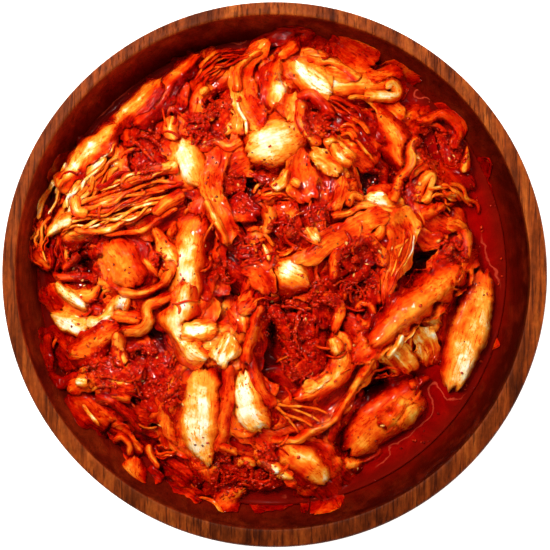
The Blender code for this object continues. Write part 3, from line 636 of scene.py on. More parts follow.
    (4, "strand", [(1, -47), (11, -48.5), (20, -51)], 1.0, (0.42, 0.42, 0.42), {}),
    (4, "petiole", [(23, -21), (25, -29), (23, -36), (16, -42), (7, -45)], (8, 9, 9, 7, 4),
     (0.46, 0.3, 0.42), dict(blade=1)),
    (4, "leaf", [(10, -42), (15, -40), (20, -36)], 5, (0.36, 0.3, 0.4), dict(crumple=1.2)),
    (5, "ribbon", [(21, -23), (23, -29)], 4, (0.3, 0.12, 0.3), {}),
    (2, "sheet", [(5, -14), (6, -24), (6, -36)], 8, (0.84, 0.8, 0.84), dict(paste=0.4)),
    (3, "ribbon", [(-1, -11), (3, -20), (7, -30), (8, -38)], 4, (0.6, 0.64, 0.72), dict(paste=0.5)),
    (3, "leaf", [(13, -14), (11, -22), (12, -33)], 6, (0.66, 0.7, 0.74), dict(paste=0.6, crumple=1.2)),
    (3, "lump", [(3, -19), (6, -23)], 3.5, (0.62, 0.62, 0.62), dict(paste=0.7)),
    (3, "lump", [(12, -24), (14, -28)], 4, (0.62, 0.66, 0.7), dict(paste=0.7)),
    (3, "lump", [(2, -28), (6, -31)], 3.5, (0.66, 0.66, 0.7), dict(paste=0.7)),
    (4, "strand", [(9, -15), (7, -21), (9, -27)], 1.2, (0.5, 0.5, 0.5), {}),
    (3, "leaf", [(4, -36), (10, -35), (16, -32)], 7, (0.66, 0.66, 0.66), dict(paste=1)),
    (4, "ribbon", [(-9.5, -27), (-7, -36), (-3, -44), (0, -48)], 2.6, (0.56, 0.56, 0.6), dict(twist=8)),
    (3, "sheet", [(-19, -60), (-9, -64), (1, -66)], 8, (0.76, 0.7, 0.7), {}),
    (3, "sheet", [(-7, -64), (0, -69), (9, -74)], 9, (0.5, 0.42, 0.44), {}),
    (4, "ribbon", [(-6, -68.5), (0, -72), (7, -75)], (1.5, 3.6, 2), (0.1, 0.08, 0.2), {}),
    (3, "petiole", [(-15, -70), (-11, -69), (-7, -70)], 4, (0.3, 0.16, 0.3), dict(paste=0, blade=0.6)),
    (4, "ribbon", [(-20, -63), (-17, -65), (-14, -66.5)], 1.8, (0.24, 0.24, 0.36), {}),
    (3, "lump", [(-21, -66), (-17, -68)], 4, (0.44, 0.4, 0.5), {}),
    (2, "leaf", [(-31, -73), (-18, -75), (-3, -76)], 9, (0.82, 0.82, 0.82), dict(paste=1)),
    (3, "leaf", [(-20, -76), (-15, -76), (-10, -76)], 5, (0.6, 0.56, 0.66), {}),
    (3, "leaf", [(-10, -79), (-3, -78), (5, -76)], 4, (0.72, 0.72, 0.72), {}),
    (2, "leaf", [(-27, -79), (-20, -80), (-12, -80)], 7, (0.6, 0.56, 0.6), {}),
    (3, "petiole", [(-21, -86), (-17, -83), (-11, -80)], (4, 7, 4), (0.3, 0.12, 0.3), dict(paste=0)),
    (3, "strand", [(-28, -83), (-23, -85), (-19, -89)], 1.3, (0.14, 0.14, 0.14), dict(patchy=0.3)),
    (0, "leaf", [(-9, -84), (0, -85), (9, -83)], 7, (0.8, 0.8, 0.8), dict(paste=0.8)),
    (2, "sheet", [(25, -80), (20, -85), (15, -90)], (8, 12, 8), (0.36, 0.46, 0.66), dict(paste=0.2)),
    (2, "leaf", [(8, -80), (10, -84), (12, -88)], 5, (0.66, 0.66, 0.66), dict(paste=0.8)),
    # lower left
    (3, "ribbon", [(-84.5, -22), (-84.5, -30), (-84, -37)], 3.4, (0.56, 0.5, 0.64), dict(twist=8)),
    (3, "petiole", [(-85, -37), (-79, -40.5), (-72, -37)], 4.6, (0.56, 0.62, 0.7), dict(paste=0, blade=0.6)),
    (2, "leaf", [(-81, -26), (-78, -31), (-75, -36)], 8, (0.64, 0.56, 0.6), dict(paste=0)),
    (3, "petiole", [(-76, -44), (-70, -49), (-63, -54), (-58, -57)], (10, 12, 10, 6), (0.5, 0.48, 0.5),
     dict(paste=0)),
    (4, "pleated", [(-69, -30), (-67, -37), (-60, -41.5), (-51, -42)], (4, 7, 8, 5), (0.38, 0.58, 0.52),
     dict(paste=0.1, pleat=1.3)),
    (4, "leaf", [(-64, -30), (-61, -35), (-54, -37), (-48, -33)], (4, 7, 7, 4), (0.5, 0.68, 0.62),
     dict(paste=0.2)),
    (4, "petiole", [(-77, -43), (-72, -40.5), (-67, -41.5)], 5, (0.46, 0.3, 0.44), dict(blade=0.6)),
    (5, "ribbon", [(-73.5, -39), (-69, -40)], 3.4, (0.04, 0.0, 0.12), dict(paste=0)),
    (4, "strand", [(-71, -48), (-68.5, -52), (-65, -56)], 1.6, (0.28, 0.28, 0.28), {}),
    (3, "sheet", [(-71, -36), (-62, -36), (-55, -37), (-49, -40)], 13, (0.6, 0.66, 0.62), dict(paste=0.4)),
    (4, "strand", [(-72, -36), (-69, -34), (-65, -32.5)], 1.2, (0.2, 0.2, 0.2), {}),
    (4, "ribbon", [(-68, -36), (-65, -40), (-61, -44)], 2.6, (0.3, 0.36, 0.5), {}),
    (4, "ribbon", [(-66, -43.5), (-59, -45), (-53, -46)], 2.4, (0.36, 0.36, 0.56), {}),
    (4, "ribbon", [(-66, -45), (-59, -48), (-54, -52), (-49, -58)], 2.6, (0.66, 0.7, 0.76), {}),
    (3, "leaf", [(-62, -57), (-56, -61), (-51, -68)], 9, (0.4, 0.44, 0.5), dict(crumple=1.4)),
    (4, "ribbon", [(-60, -62), (-57, -60), (-54, -63), (-55, -67)], 1.8, (0.26, 0.26, 0.36), {}),
    (3, "petiole", [(-52, -68), (-52, -74), (-50.5, -80)], (6, 7, 5), (0.5, 0.28, 0.1),
     dict(paste=0.1, blade=1)),
    (3, "leaf", [(-47, -72), (-44, -75), (-42, -77)], 4, (0.5, 0.46, 0.5), {}),
    (4, "ribbon", [(-47, -63), (-46, -68), (-43, -72)], 2, (0.28, 0.3, 0.4), {}),
    (2, "leaf", [(-38, -78), (-32, -81), (-27, -83)], 5, (0.5, 0.5, 0.56), {}),
    (2, "leaf", [(-41, -69), (-36, -73), (-31, -77)], 8, (0.7, 0.72, 0.7), dict(paste=0.7)),
    (2, "leaf", [(-48, -33), (-43, -42), (-41, -51)], 14, (0.8, 0.78, 0.76), dict(paste=1)),
    (3, "leaf", [(-46, -53), (-41, -51), (-37, -50)], 5, (0.46, 0.46, 0.54), {}),
    # left
    (4, "petiole", [(-78, 13), (-72, 14.5), (-65, 17)], (5, 6, 4), (0.2, 0.26, 0.5), {}),
    (5, "ribbon", [(-84, 14), (-80, 18.5), (-74, 20)], (1.6, 4, 4), (0.2, 0.08, 0.16), {}),
    (5, "ribbon", [(-73, 29), (-72, 24), (-68, 23)], 3, (0.12, 0.1, 0.2), {}),
    (5, "ribbon", [(-44, 22), (-39, 26), (-33, 30)], 3, (0.4, 0.32, 0.44), {}),
    (3, "leaf", [(-54, 17), (-50, 19), (-47, 22)], 5, (0.36, 0.36, 0.46), dict(crumple=1.3)),
    (3, "sheet", [(-32, 24), (-41, 20), (-50, 15)], 9, (0.54, 0.58, 0.62), dict(paste=0)),
    (3, "leaf", [(-84, 25), (-87, 17), (-88, 9), (-83, 2)], 7, (0.66, 0.6, 0.66), {}),
    (2, "leaf", [(-80, 18), (-80, 10), (-80, 2)], 8, (0.7, 0.66, 0.7), {}),
    (4, "ribbon", [(-78, 2), (-75, 4), (-72, 7.5)], 1.6, (0.3, 0.3, 0.3), {}),
    (3, "leaf", [(-77, 4), (-73, 2), (-70, 0)], 4, (0.46, 0.44, 0.5), {}),
    (3, "lump", [(-68, 6), (-64, 9)], 3, (0.74, 0.74, 0.74), dict(paste=1)),
    (4, "ribbon", [(-82, 0), (-76, -1), (-69, -0.5), (-65, -3)], 2.2, (0.5, 0.54, 0.66), dict(twist=6)),
    (4, "ribbon", [(-77, -4.5), (-73, -7.5), (-68, -7.5), (-64.5, -4)], (2, 4, 4, 2), (0.28, 0.28, 0.4),
     dict(twist=8)),
    (5, "ribbon", [(-80.5, -3), (-77, -7), (-73, -9.5), (-69, -11)], (2, 3.6, 3, 2), (0.06, 0.02, 0.14),
     dict(paste=0)),
    (3, "leaf", [(-85, -4), (-82, -9), (-78, -13)], 8, (0.66, 0.66, 0.64), dict(paste=0.8)),
    (3, "sheet", [(-78, -12), (-71, -13), (-64, -12), (-58, -10)], 7, (0.36, 0.34, 0.42), {}),
    (4, "petiole", [(-83, -14.5), (-76, -17.5), (-69, -20), (-62, -21)], (4, 8, 9, 7), (0.2, 0.02, 0.12),
     dict(paste=0, blade=1)),
    (4, "ribbon", [(-55.5, -7), (-56.5, -11.5), (-60, -15), (-65, -18), (-69, -18)], 5.4, (0.06, 0.06, 0.2),
     dict(paste=0)),
    (4, "ribbon", [(-59, -15), (-53, -16), (-48, -17)], 4.2, (0.36, 0.36, 0.46), dict(twist=6)),
    (3, "lump", [(-68, -14), (-63, -13.5)], 4, (0.66, 0.66, 0.66), dict(paste=1)),
    (4, "petiole", [(-76, -30), (-69, -27), (-62, -23), (-57, -19)], (5, 7, 7, 5), (0.46, 0.36, 0.5), {}),
    (2, "leaf", [(-88, -22), (-83, -21), (-78, -24), (-75, -29)], 6, (0.7, 0.72, 0.7), dict(paste=0.8)),
    (4, "petiole", [(-44, 17), (-40, 10), (-35.5, 3)], (3, 6, 3), (0.44, 0.26, 0.04),
     dict(paste=0, blade=0.6)),
    (2, "sheet", [(-51, 13), (-46, 7), (-44, -1)], 11, (0.68, 0.66, 0.6), dict(paste=0)),
    (3, "ribbon", [(-47.5, 6), (-45, 2.5), (-42.5, -1)], (1, 2.4, 1), (0.24, 0.24, 0.3), dict(paste=0)),
    (4, "ribbon", [(-39, 4.5), (-38.5, 0), (-42, -4.5), (-48, -6.5), (-57, -6)], (3, 2.4, 1.6, 1.6, 2),
     (0.4, 0.34, 0.4),
     dict(twist=8)),
    (5, "ribbon", [(-37, -8), (-43, -9.5), (-46, -12), (-46.5, -17), (-50, -21), (-57, -21)],
     (2, 3, 3.4, 3.4, 3.4, 2.6),
     (0.26, 0.3, 0.4), dict(twist=10)),
    (5, "ribbon", [(-57.5, -21), (-57.5, -27), (-55.5, -33)], (2.6, 4, 4.6), (0.32, 0.24, 0.3),
     dict(twist=8)),
    (3, "strand", [(-37, 3), (-36, -4), (-38, -10)], 1.6, (0.66, 0.66, 0.66), {}),
    (2, "sheet", [(-43, -9), (-41, -15), (-40, -21)], 8, (0.7, 0.7, 0.72), dict(paste=0.2)),
    # middle
    (4, "sheet", [(-21, 50), (-21, 41), (-23, 33), (-21, 25), (-18, 17), (-16, 11)], (8, 9, 8, 9, 8, 5),
     (0.6, 0.48, 0.5), dict(paste=0.05)),
    (5, "ribbon", [(-25, 27), (-22, 21), (-19.5, 15), (-18, 11)], 1.8, (0.24, 0.22, 0.4), {}),
    (4, "ribbon", [(-27, 46), (-22, 48.5), (-17, 46.5), (-12, 48.5)], 2, (0.36, 0.34, 0.44), {}),
    (3, "sheet", [(-15, 45), (-15, 38), (-14, 30)], 9, (0.7, 0.66, 0.6), dict(paste=0.4)),
    (3, "sheet", [(-35, -9), (-36, -17), (-34, -25)], 6, (0.36, 0.4, 0.5), {}),
    (5, "petiole", [(-31, -3), (-33.5, -11), (-35, -19), (-32, -26), (-25, -31)], (4, 7, 7, 7, 5),
     (0.24, 0.06, 0.2),
     dict(paste=0, patchy=0.9)),
    (3, "sheet", [(-24, -7), (-24, -13), (-24, -18)], 9, (0.44, 0.42, 0.38), {}),
    (5, "pleated", [(-34, -21), (-27, -20), (-21, -19)], (5, 7, 4), (0.26, 0.1, 0.26),
     dict(paste=0, pleat=0.6)),
    (4, "sheet", [(-33, -25), (-26, -25), (-19, -25)], 9, (0.26, 0.16, 0.2), dict(paste=0)),
    (5, "pleated", [(-20, -33), (-18, -28), (-15, -22)], (5, 8, 5), (0.14, 0.0, 0.2),
     dict(paste=0, pleat=0.6)),
    (3, "sheet", [(-11, -18), (-13, -25), (-17, -32)], 8, (0.46, 0.36, 0.3), {}),
    (3, "leaf", [(-22, -33), (-19, -33), (-14, -34)], 6, (0.4, 0.44, 0.5), dict(paste=0.7)),
    (4, "ribbon", [(-5, -11), (-7, -19), (-10, -25), (-10, -32)], 2.8, (0.44, 0.42, 0.5), {}),
    (3, "leaf", [(-16, -12), (-13, -17), (-12, -21)], 6, (0.5, 0.56, 0.6), dict(paste=0.8)),
    (4, "leaf", [(-13, -14), (-10, -11), (-7, -9)], 5, (0.4, 0.38, 0.46), {}),
    (3, "leaf", [(-19, 12), (-20, 4), (-20, -3), (-21, -8)], 6, (0.62, 0.56, 0.64), {}),
    (3, "leaf", [(-26, -1), (-25, -6), (-25, -10)], 5, (0.64, 0.6, 0.64), {}),
    (4, "sheet", [(-12, 2), (-7, 1), (-3, -3), (-2, -7)], (5, 9, 9, 6), (0.44, 0.56, 0.6), {}),
    (5, "strand", [(-4, 11), (-3.4, 8), (-2.5, 5)], 1.6, (0.08, 0.08, 0.08), dict(patchy=0.3)),
    (4, "strand", [(-10, 16), (-6, 16.8), (-3, 14.5), (-1, 11), (1, 10)], 1.5, (0.34, 0.34, 0.34), {}),
    (3, "leaf", [(-10, 11), (-7, 15), (-3, 16)], 5, (0.46, 0.4, 0.5), {}),
    (3, "leaf", [(-16, 27), (-11, 24), (-7, 20)], 10, (0.74, 0.72, 0.66), dict(paste=0.8)),
    (3, "leaf", [(-14, 8), (-9, 9), (-5, 8)], 6, (0.7, 0.7, 0.7), dict(paste=1)),
    (4, "ribbon", [(-2.5, 25), (-2, 20), (-3.5, 15)], 3, (0.34, 0.24, 0.34), {}),
    (4, "strand", [(-7, 27), (-4, 25), (-3, 22)], 1.3, (0.3, 0.3, 0.3), {}),
    (3, "pleated", [(-5, 28), (1, 29.5), (9, 29)], 6, (0.34, 0.36, 0.46), {}),
    (3, "sheet", [(1, 26), (4, 20), (7, 12)], 12, (0.6, 0.54, 0.62), dict(paste=0.5)),
    (4, "ribbon", [(4.5, 20), (8.5, 23)], 3, (0.2, 0.18, 0.36), {}),
    (4, "leaf", [(1, 15), (4, 15), (7, 14)], 4, (0.46, 0.4, 0.5), dict(crumple=1.2)),
    (4, "leaf", [(11, 17), (13, 14.5), (16, 12)], 5, (0.22, 0.16, 0.34), {}),
    (3, "sheet", [(12, 25), (15, 20), (15, 13)], 8, (0.54, 0.5, 0.54), {}),
    (3, "leaf", [(16, -2), (15, -7), (13, -11)], 5, (0.66, 0.6, 0.66), dict(paste=0.7)),
    (2, "leaf", [(19, -20), (19, -9), (22, -1)], 9, (0.78, 0.78, 0.78), dict(paste=1)),
    (4, "petiole", [(16.5, -9), (21, -9.5), (24, -14), (21.5, -21)], (3, 4, 5, 3), (0.46, 0.4, 0.5),
     dict(blade=0.6)),
    (3, "ribbon", [(4, -11), (8, -10), (12, -11.5)], 2.4, (0.56, 0.56, 0.6), {}),
)

# level, route, how far the bundle spreads, strips in it, tones from its left to its right, width of a strip
BUNDLES = (
    (4, [(-58, 46), (-66, 39), (-75, 28), (-83, 15)], 16, 14, (0.34, 0.1, 0.14), 1.9),
    (3, [(-60, 42), (-70, 32), (-80, 17)], 17, 9, (0.36, 0.2, 0.26), 2.4),
    (4, [(-81, 19), (-70, 26), (-57, 31), (-44, 35), (-35, 38)], 9, 9, (0.52, 0.3, 0.5), 1.7),
    (4, [(-80, 17), (-68, 19), (-56, 22), (-44, 27), (-31, 30)], 12, 13, (0.38, 0.24, 0.4), 1.7),
    (5, [(-56, 33), (-47, 36), (-36, 38.5)], 3, 3, (0.2, 0.25, 0.4), 1.6),
    (3, [(-84, 25), (-87, 17), (-88, 10), (-84, 2)], 6, 8, (0.42, 0.3, 0.5), 1.3),
    (3, [(-79, 18), (-80, 10), (-79, 3), (-82, -3)], 5, 6, (0.6, 0.5, 0.66), 1.3),
    (4, [(-29, 71), (-24, 77), (-16, 81), (-5, 84)], 6, 7, (0.45, 0.36, 0.6), 1.4),
    (3, [(-26, 67), (-24, 72), (-18, 77), (-12, 78)], 4, 4, (0.7, 0.55, 0.66), 1.5),
    (3, [(8, 64), (16, 64), (25, 61), (33, 54)], 5, 6, (0.6, 0.56, 0.7), 1.4),
    (3, [(11, 60), (16, 54), (21, 47)], 6, 5, (0.5, 0.4, 0.6), 1.4),
    (4, [(56, 30), (63, 31), (69, 28), (75, 21)], 7, 8, (0.3, 0.2, 0.42), 1.3),
    (3, [(55, 28), (61, 27), (66, 22)], 4, 4, (0.5, 0.44, 0.6), 1.3),
    (3, [(-71, -37), (-63, -37), (-55, -38), (-48, -40)], 10, 4, (0.62, 0.66, 0.5), 2.2),
    (3, [(-66, -42), (-58, -44), (-50, -47)], 4, 3, (0.3, 0.2, 0.4), 1.6),
    (3, [(-47, -64), (-43, -66), (-36, -66)], 5, 4, (0.5, 0.44, 0.7), 1.2),
    (5, [(41, -8), (44, 1), (48, 9), (49, 16), (46, 21)], 5, 4, (0.4, 0.3, 0.24), 1.1),
    (3, [(-15, 62), (-14, 57), (-13, 50)], 5, 5, (0.5, 0.3, 0.34), 1.3),
    (3, [(-8, 29), (0, 31), (9, 29)], 5, 4, (0.4, 0.34, 0.52), 1.5),
    (3, [(36, -38), (42, -37), (49, -38)], 5, 5, (0.6, 0.5, 0.6), 1.1),
)


def shredded(level, route, across, count, tones, width):
    """Strips lying side by side along one route, as where a leaf has been torn along its veins."""
    rows = []
    for k in range(count):
        side = 2 * (k + 0.5) / count - 1 + rng.normal(0, 0.12)
        first, last = rng.uniform(0, 0.4), 1 - rng.uniform(0, 0.4)
        points = curve_through(route, np.linspace(first, last, 6))
        ahead = np.gradient(points, axis=0)
        ahead /= np.linalg.norm(ahead, axis=1)[:, None]
        fan = 0.5 * across * side * (0.8 + 0.35 * np.sin(np.linspace(0, np.pi, 6)))
        fan = fan + rng.normal(0, 0.5, 6)
        points = points + np.stack([-ahead[:, 1], ahead[:, 0]], 1) * fan[:, None]
        tone = float(np.interp(side, [-1, 0, 1], tones[::-1])) + rng.normal(0, 0.13)
        wide = width * rng.uniform(0.5, 1.25)
        changes = dict(lift=LEVEL_LIFT[level] + rng.normal(0, 0.5))
        rows.append((level, "strand", points, wide, (tone, tone, tone + 0.08), changes))
    return rows


rng = np.random.default_rng(41)
SHREDS = [row for bundle in BUNDLES for row in shredded(*bundle)]

# ---------------------------------------------------------------- loose cabbage under and between them

FLOW_REACH = 6.0
LARGE_REDDER = 0.25


def flow_marks():
    """Middle, direction and tone of each stretch of the routes above, for the loose cabbage to follow."""
    rows = []
    for _, crest, _, _, _, tones, _ in LARGE.values():
        rows.append((np.array(crest, float)[:, :2], tones[1] + LARGE_REDDER))
    for _, _, route, _, tones, _ in SMALL:
        rows.append((np.array(route, float), tones[1]))
    marks = []
    for route, tone in rows:
        for a, b in zip(route, route[1:]):
            middle = (a + b) / 2
            marks.append((*middle, 2 * math.atan2(b[1] - a[1], b[0] - a[0]), tone, np.linalg.norm(b - a)))
    return np.array(marks)


MARKS = flow_marks()


def flow(x, y):
    """Direction and tone of the listed cabbage about a spot."""
    away = np.hypot(MARKS[:, 0] - x, MARKS[:, 1] - y)
    weight = MARKS[:, 4] * np.exp(-0.5 * (away / FLOW_REACH) ** 2) + 1e-9
    turn = 0.5 * math.atan2((weight * np.sin(MARKS[:, 2])).sum(), (weight * np.cos(MARKS[:, 2])).sum())
    return turn, float((weight * MARKS[:, 3]).sum() / weight.sum())


LOOSE_WIDTH = {
    "leaf": (6, 11), "sheet": (6, 10), "pleated": (7, 13),
    "ribbon": (2, 4.5), "strand": (1.0, 1.8), "petiole": (4, 7),
}


def scatter(count, level, redder, size, kinds, unruly, fineness):
    """Seeded pieces that follow the flow of the pile, redder than what is laid above them."""
    done = 0
    while done < count:
        x, y = rng.uniform(-90, 90, 2)
        if math.hypot(x, y) > reach_along(LOOSE_OUTLINE, x, y) - 3 or spots(POOLS, x, y) > 0.2:
            continue
        gap = float(spots(HOLLOWS, x, y))
        if gap > 0.4 and level > 0:
            continue
        done += 1
        kind = kinds[int(rng.integers(len(kinds)))]
        turn, tone = flow(x, y)
        turn += rng.normal(0, unruly) + np.pi * rng.integers(2)
        long = rng.uniform(*size)
        bend = rng.normal(0, 0.28)
        route = [(x - math.cos(turn) * long / 2, y - math.sin(turn) * long / 2)]
        turn -= 1.5 * bend
        for _ in range(4):
            route.append((route[-1][0] + math.cos(turn) * long / 4, route[-1][1] + math.sin(turn) * long / 4))
            turn += bend
        # The 0.3 * gap darkens loose pieces in a hollow as painted shade.
        tone = min(tone, 0.72) + rng.uniform(*redder) + 0.3 * gap
        edge = rng.normal(0, 0.07, 2)
        width = rng.uniform(*LOOSE_WIDTH[kind])
        widths = [width * 0.5, width, width * 0.9, width * 0.6]
        tones = (tone + edge[0], tone, tone + edge[1])
        lift = np.full(2, LEVEL_LIFT[level] - 3 * gap)
        paste = rng.uniform(0.2, 0.7)
        cabbage(kind, route, widths, tones, level, lift, "filler", fineness, paste=paste)


scatter(80, 0, (0.22, 0.4), (20, 36), ("leaf", "leaf", "pleated"), 0.5, 1.2)
scatter(150, 1, (0.08, 0.28), (18, 34), ("leaf", "sheet", "pleated", "ribbon"), 0.35, 0.95)
MIXED = ("leaf", "pleated", "ribbon", "sheet", "petiole", "strand")
scatter(180, 2, (-0.02, 0.2), (14, 28), MIXED, 0.3, 0.85)

# ---------------------------------------------------------------- laying it all, lowest first

SKIRT_DROP = 3.0
SKIRT_END = 9.0
STEM_SHARE = 0.72


def skirt(level, crest, width, tones):
    """The broad torn leaf that a stem's sides and ends run out into."""
    points = np.array(crest, float)
    first, last = points[0, :2] - points[1, :2], points[-1, :2] - points[-2, :2]
    start = points[0, :2] + first / np.linalg.norm(first) * SKIRT_END
    finish = points[-1, :2] + last / np.linalg.norm(last) * SKIRT_END
    lift = [points[0, 2] - 2, *points[:, 2], points[-1, 2] - 2]
    wide = [0.7 * width[0], *(1.75 * w + 1 for w in width), 0.7 * width[-1]]
    left, right = max(tones[0], 0.4) + 0.12, max(tones[2], 0.4) + 0.12
    cabbage("sheet", [start, *points[:, :2], finish], wide, (left, 0.5, right), level, owner="sheet",
            lift=np.array(lift) - SKIRT_DROP, limp=0.3, crumple=0.5, ruffle=2.4, paste=0.25)


order = [(level, name, None) for name, (level, *_) in LARGE.items()]
order += [(row[0], "", row) for row in (*SMALL, *SHREDS)]
for level, name, row in sorted(order, key=lambda entry: entry[0]):
    if name:
        _, crest, width, thick, roll, tones, changes = LARGE[name]
        if not name.startswith("slab"):
            skirt(level, crest, width, tones)
            thick *= STEM_SHARE
        route, lift = [point[:2] for point in crest], [point[2] for point in crest]
        cabbage("stem", route, width, tones, level, lift, name, thick=thick, roll=roll, **changes)
    else:
        _, kind, route, width, tones, changes = row
        cabbage(kind, route, width, tones, level, owner=kind, **changes)


def mince(count):
    """Fine shreds left in the chilli paste, lying any way on the pile."""
    done = 0
    while done < count:
        x, y = rng.uniform(-88, 88, 2)
        wanted = spots(PASTE_SPOTS, x, y) - 0.8 * spots(CLEAN_SPOTS, x, y) - spots(HOLLOWS, x, y)
        if math.hypot(x, y) > reach_along(LOOSE_OUTLINE, x, y) - 2 or rng.random() > wanted + 0.1:
            continue
        done += 1
        turn = rng.uniform(0, 2 * np.pi)
        long = rng.uniform(3, 10)
        bend = rng.normal(0, 0.4)
        route = [(x, y)]
        for _ in range(3):
            route.append((route[-1][0] + math.cos(turn) * long / 3, route[-1][1] + math.sin(turn) * long / 3))
            turn += bend
        tone = rng.uniform(0.36, 0.74)
        width = rng.uniform(0.7, 1.3)
        cabbage("strand", route, width, (tone, tone, tone), lift=-4, owner="mince", limp=1.0, thick=0.5,
                paste=0.3)


mince(120)

# ---------------------------------------------------------------- paste, painted shade in valleys, and last tones

# Pieces down by the brine are soaked: redder, and at its level never paler than SOAKED_LEAST. The large
# ones are not.
valley_map = blurred(pile, 7)
crest_map = blurred(pile, 1)
SHARED_MIDDLE = 0.15
SHARED_EDGE = 0.6
CONTRAST = 1.12
MIDDLE_TONE = 0.5
SOAKED_TONE = 0.26
SOAKED_RISE = 11.0
SOAKED_LEAST = 0.6


def shared_tones():
    """The tone of whatever is seen from above, blurred as juice and paste spread it between neighbours."""
    total = np.full(pile.shape, 1e-6)
    weighed = np.full(pile.shape, 0.62e-6)
    for piece in laid:
        ix, iy = piece["cells"]
        seen = piece["top"] > crest_map[ix, iy] - 0.8
        np.add.at(total, (ix[seen], iy[seen]), 1.0)
        np.add.at(weighed, (ix[seen], iy[seen]), piece["tone"][seen])
    filled = (total > 1e-3).astype(float)
    return blurred(filled * weighed / total, 4) / np.maximum(blurred(filled, 4), 1e-3)


tone_map = shared_tones()
for piece in laid:
    ix, iy = piece["cells"]
    x, y = piece["x"], piece["y"]
    # Painted shade: pieces sunk below the valley round them, or under a nearby crest, are darkened, not past
    # 0.92 unless already so dark.
    sunk = np.clip((valley_map[ix, iy] - piece["top"] - 0.3) / 3.0, 0, 1)
    buried = np.clip((crest_map[ix, iy] - piece["top"] - 0.8) / 2.0, 0, 1)
    patchy = noise(x / 7, y / 7, 61) + 0.6 * noise(x / 2.6, y / 2.6, 62)
    local = spots(PASTE_SPOTS, x, y) - 0.9 * spots(CLEAN_SPOTS, x, y)
    paste = ease(0.55 * local + 0.38 * patchy + 0.45 * (piece["paste"] - 0.35) + 0.3 * sunk, 0.22, 0.6)
    grit = noise(x / 1.4, y / 1.4, 63) + 0.8 * noise(x / 2.8, y / 2.8, 64)
    piece["top"] = piece["top"] + paste * (0.25 + 0.24 * grit)
    stain = 0.2 * noise(piece["s"] / 9, piece["t"] / 4.5 + piece["seed"], 65)
    stain = piece["patchy"] * (stain + 0.1 * noise(x / 3.5, y / 3.5, 66))
    # Painted shade: low pieces in the hollows are darkened, and have less paste, so that they read as smooth
    # dark gaps.
    gap = spots(HOLLOWS, x, y) * ease(dome(x, y) - 2.5 - piece["top"], 0, 4)
    shade_and_soak = 0.14 * sunk + 0.05 * buried
    soaked = ease(-piece["top"], -(BRINE_LEVEL + SOAKED_RISE), -BRINE_LEVEL) * (piece["owner"] not in LARGE)
    shade_and_soak += SOAKED_TONE * soaked
    darkest = np.maximum(0.92, piece["tone"])
    share = SHARED_MIDDLE + (SHARED_EDGE - SHARED_MIDDLE) * piece["v"] ** 2
    own = piece["tone"] + share * (tone_map[ix, iy] - piece["tone"])
    own = MIDDLE_TONE + CONTRAST * (own - MIDDLE_TONE)
    palest = SOAKED_LEAST * soaked
    piece["tone"] = np.clip(np.minimum(own + stain + shade_and_soak, darkest) + 0.3 * gap, palest, 1.2)
    piece["smear"] = paste * (1 - 0.8 * np.clip(gap, 0, 1))

# ---------------------------------------------------------------- meshes


def mesh_object(name, points, faces, smooth=True):
    """A mesh from points in millimetres and an array of triangles or quads."""
    mesh = bpy.data.meshes.new(name)
    mesh.vertices.add(len(points))
    mesh.vertices.foreach_set("co", (np.asarray(points) * MM).astype(np.float32).ravel())
    corners = faces.shape[1]
    mesh.loops.add(faces.size)
    mesh.loops.foreach_set("vertex_index", faces.astype(np.int32).ravel())
    mesh.polygons.add(len(faces))
    mesh.polygons.foreach_set("loop_start", np.arange(0, faces.size, corners, dtype=np.int32))
    mesh.polygons.foreach_set("use_smooth", np.full(len(faces), smooth))
    mesh.update(calc_edges=True)
    mesh.validate()
    obj = bpy.data.objects.new(name, mesh)
    bpy.context.scene.collection.objects.link(obj)
    return obj


def note(obj, name, values):
    """Writes one number, or one vector, for each vertex."""
    values = np.asarray(values, np.float32)
    kind = "FLOAT" if values.ndim == 1 else "FLOAT_VECTOR"
    layer = obj.data.attributes.new(name, kind, "POINT")
    layer.data.foreach_set("value" if values.ndim == 1 else "vector", values.ravel())


def halves(grid):
    """Two triangles for each cell of a grid of vertex numbers."""
    a, b, c, d = grid[:-1, :-1], grid[1:, :-1], grid[1:, 1:], grid[:-1, 1:]
    return np.concatenate([np.stack([a, b, c], -1).reshape(-1, 3), np.stack([a, c, d], -1).reshape(-1, 3)])


def border(grid):
    """The vertex numbers round the edge of a grid, in order."""
    return np.concatenate([grid[0, :], grid[1:, -1], grid[-1, -2::-1], grid[-2:0:-1, 0]])


def slab_faces(rows, columns):
    """Triangles of a closed slab: its upper grid, an underside with half as many cells each way, and the
    strip between their edges. Both counts are odd."""
    upper = np.arange(rows * columns).reshape(rows, columns)
    low_rows, low_columns = (rows + 1) // 2, (columns + 1) // 2
    lower = rows * columns + np.arange(low_rows * low_columns).reshape(low_rows, low_columns)
    fine, coarse = border(upper), border(lower)
    first, middle, last = fine[::2], fine[1::2], np.roll(fine[::2], -1)
    after = np.roll(coarse, -1)
    corners = [(first, middle, coarse), (middle, after, coarse), (middle, last, after)]
    strip = np.concatenate([np.stack(corner, -1) for corner in corners])
    return np.concatenate([halves(upper), halves(lower)[:, ::-1], strip])


def lowest_about(grid):
    """Every second value of a grid each way, lowered to the least of its neighbours."""
    wide = np.pad(grid, 1, mode="edge")
    rows, columns = grid.shape
    shifted = [wide[i : i + rows, k : k + columns] for i in range(3) for k in range(3)]
    return np.min(shifted, axis=0)[::2, ::2]


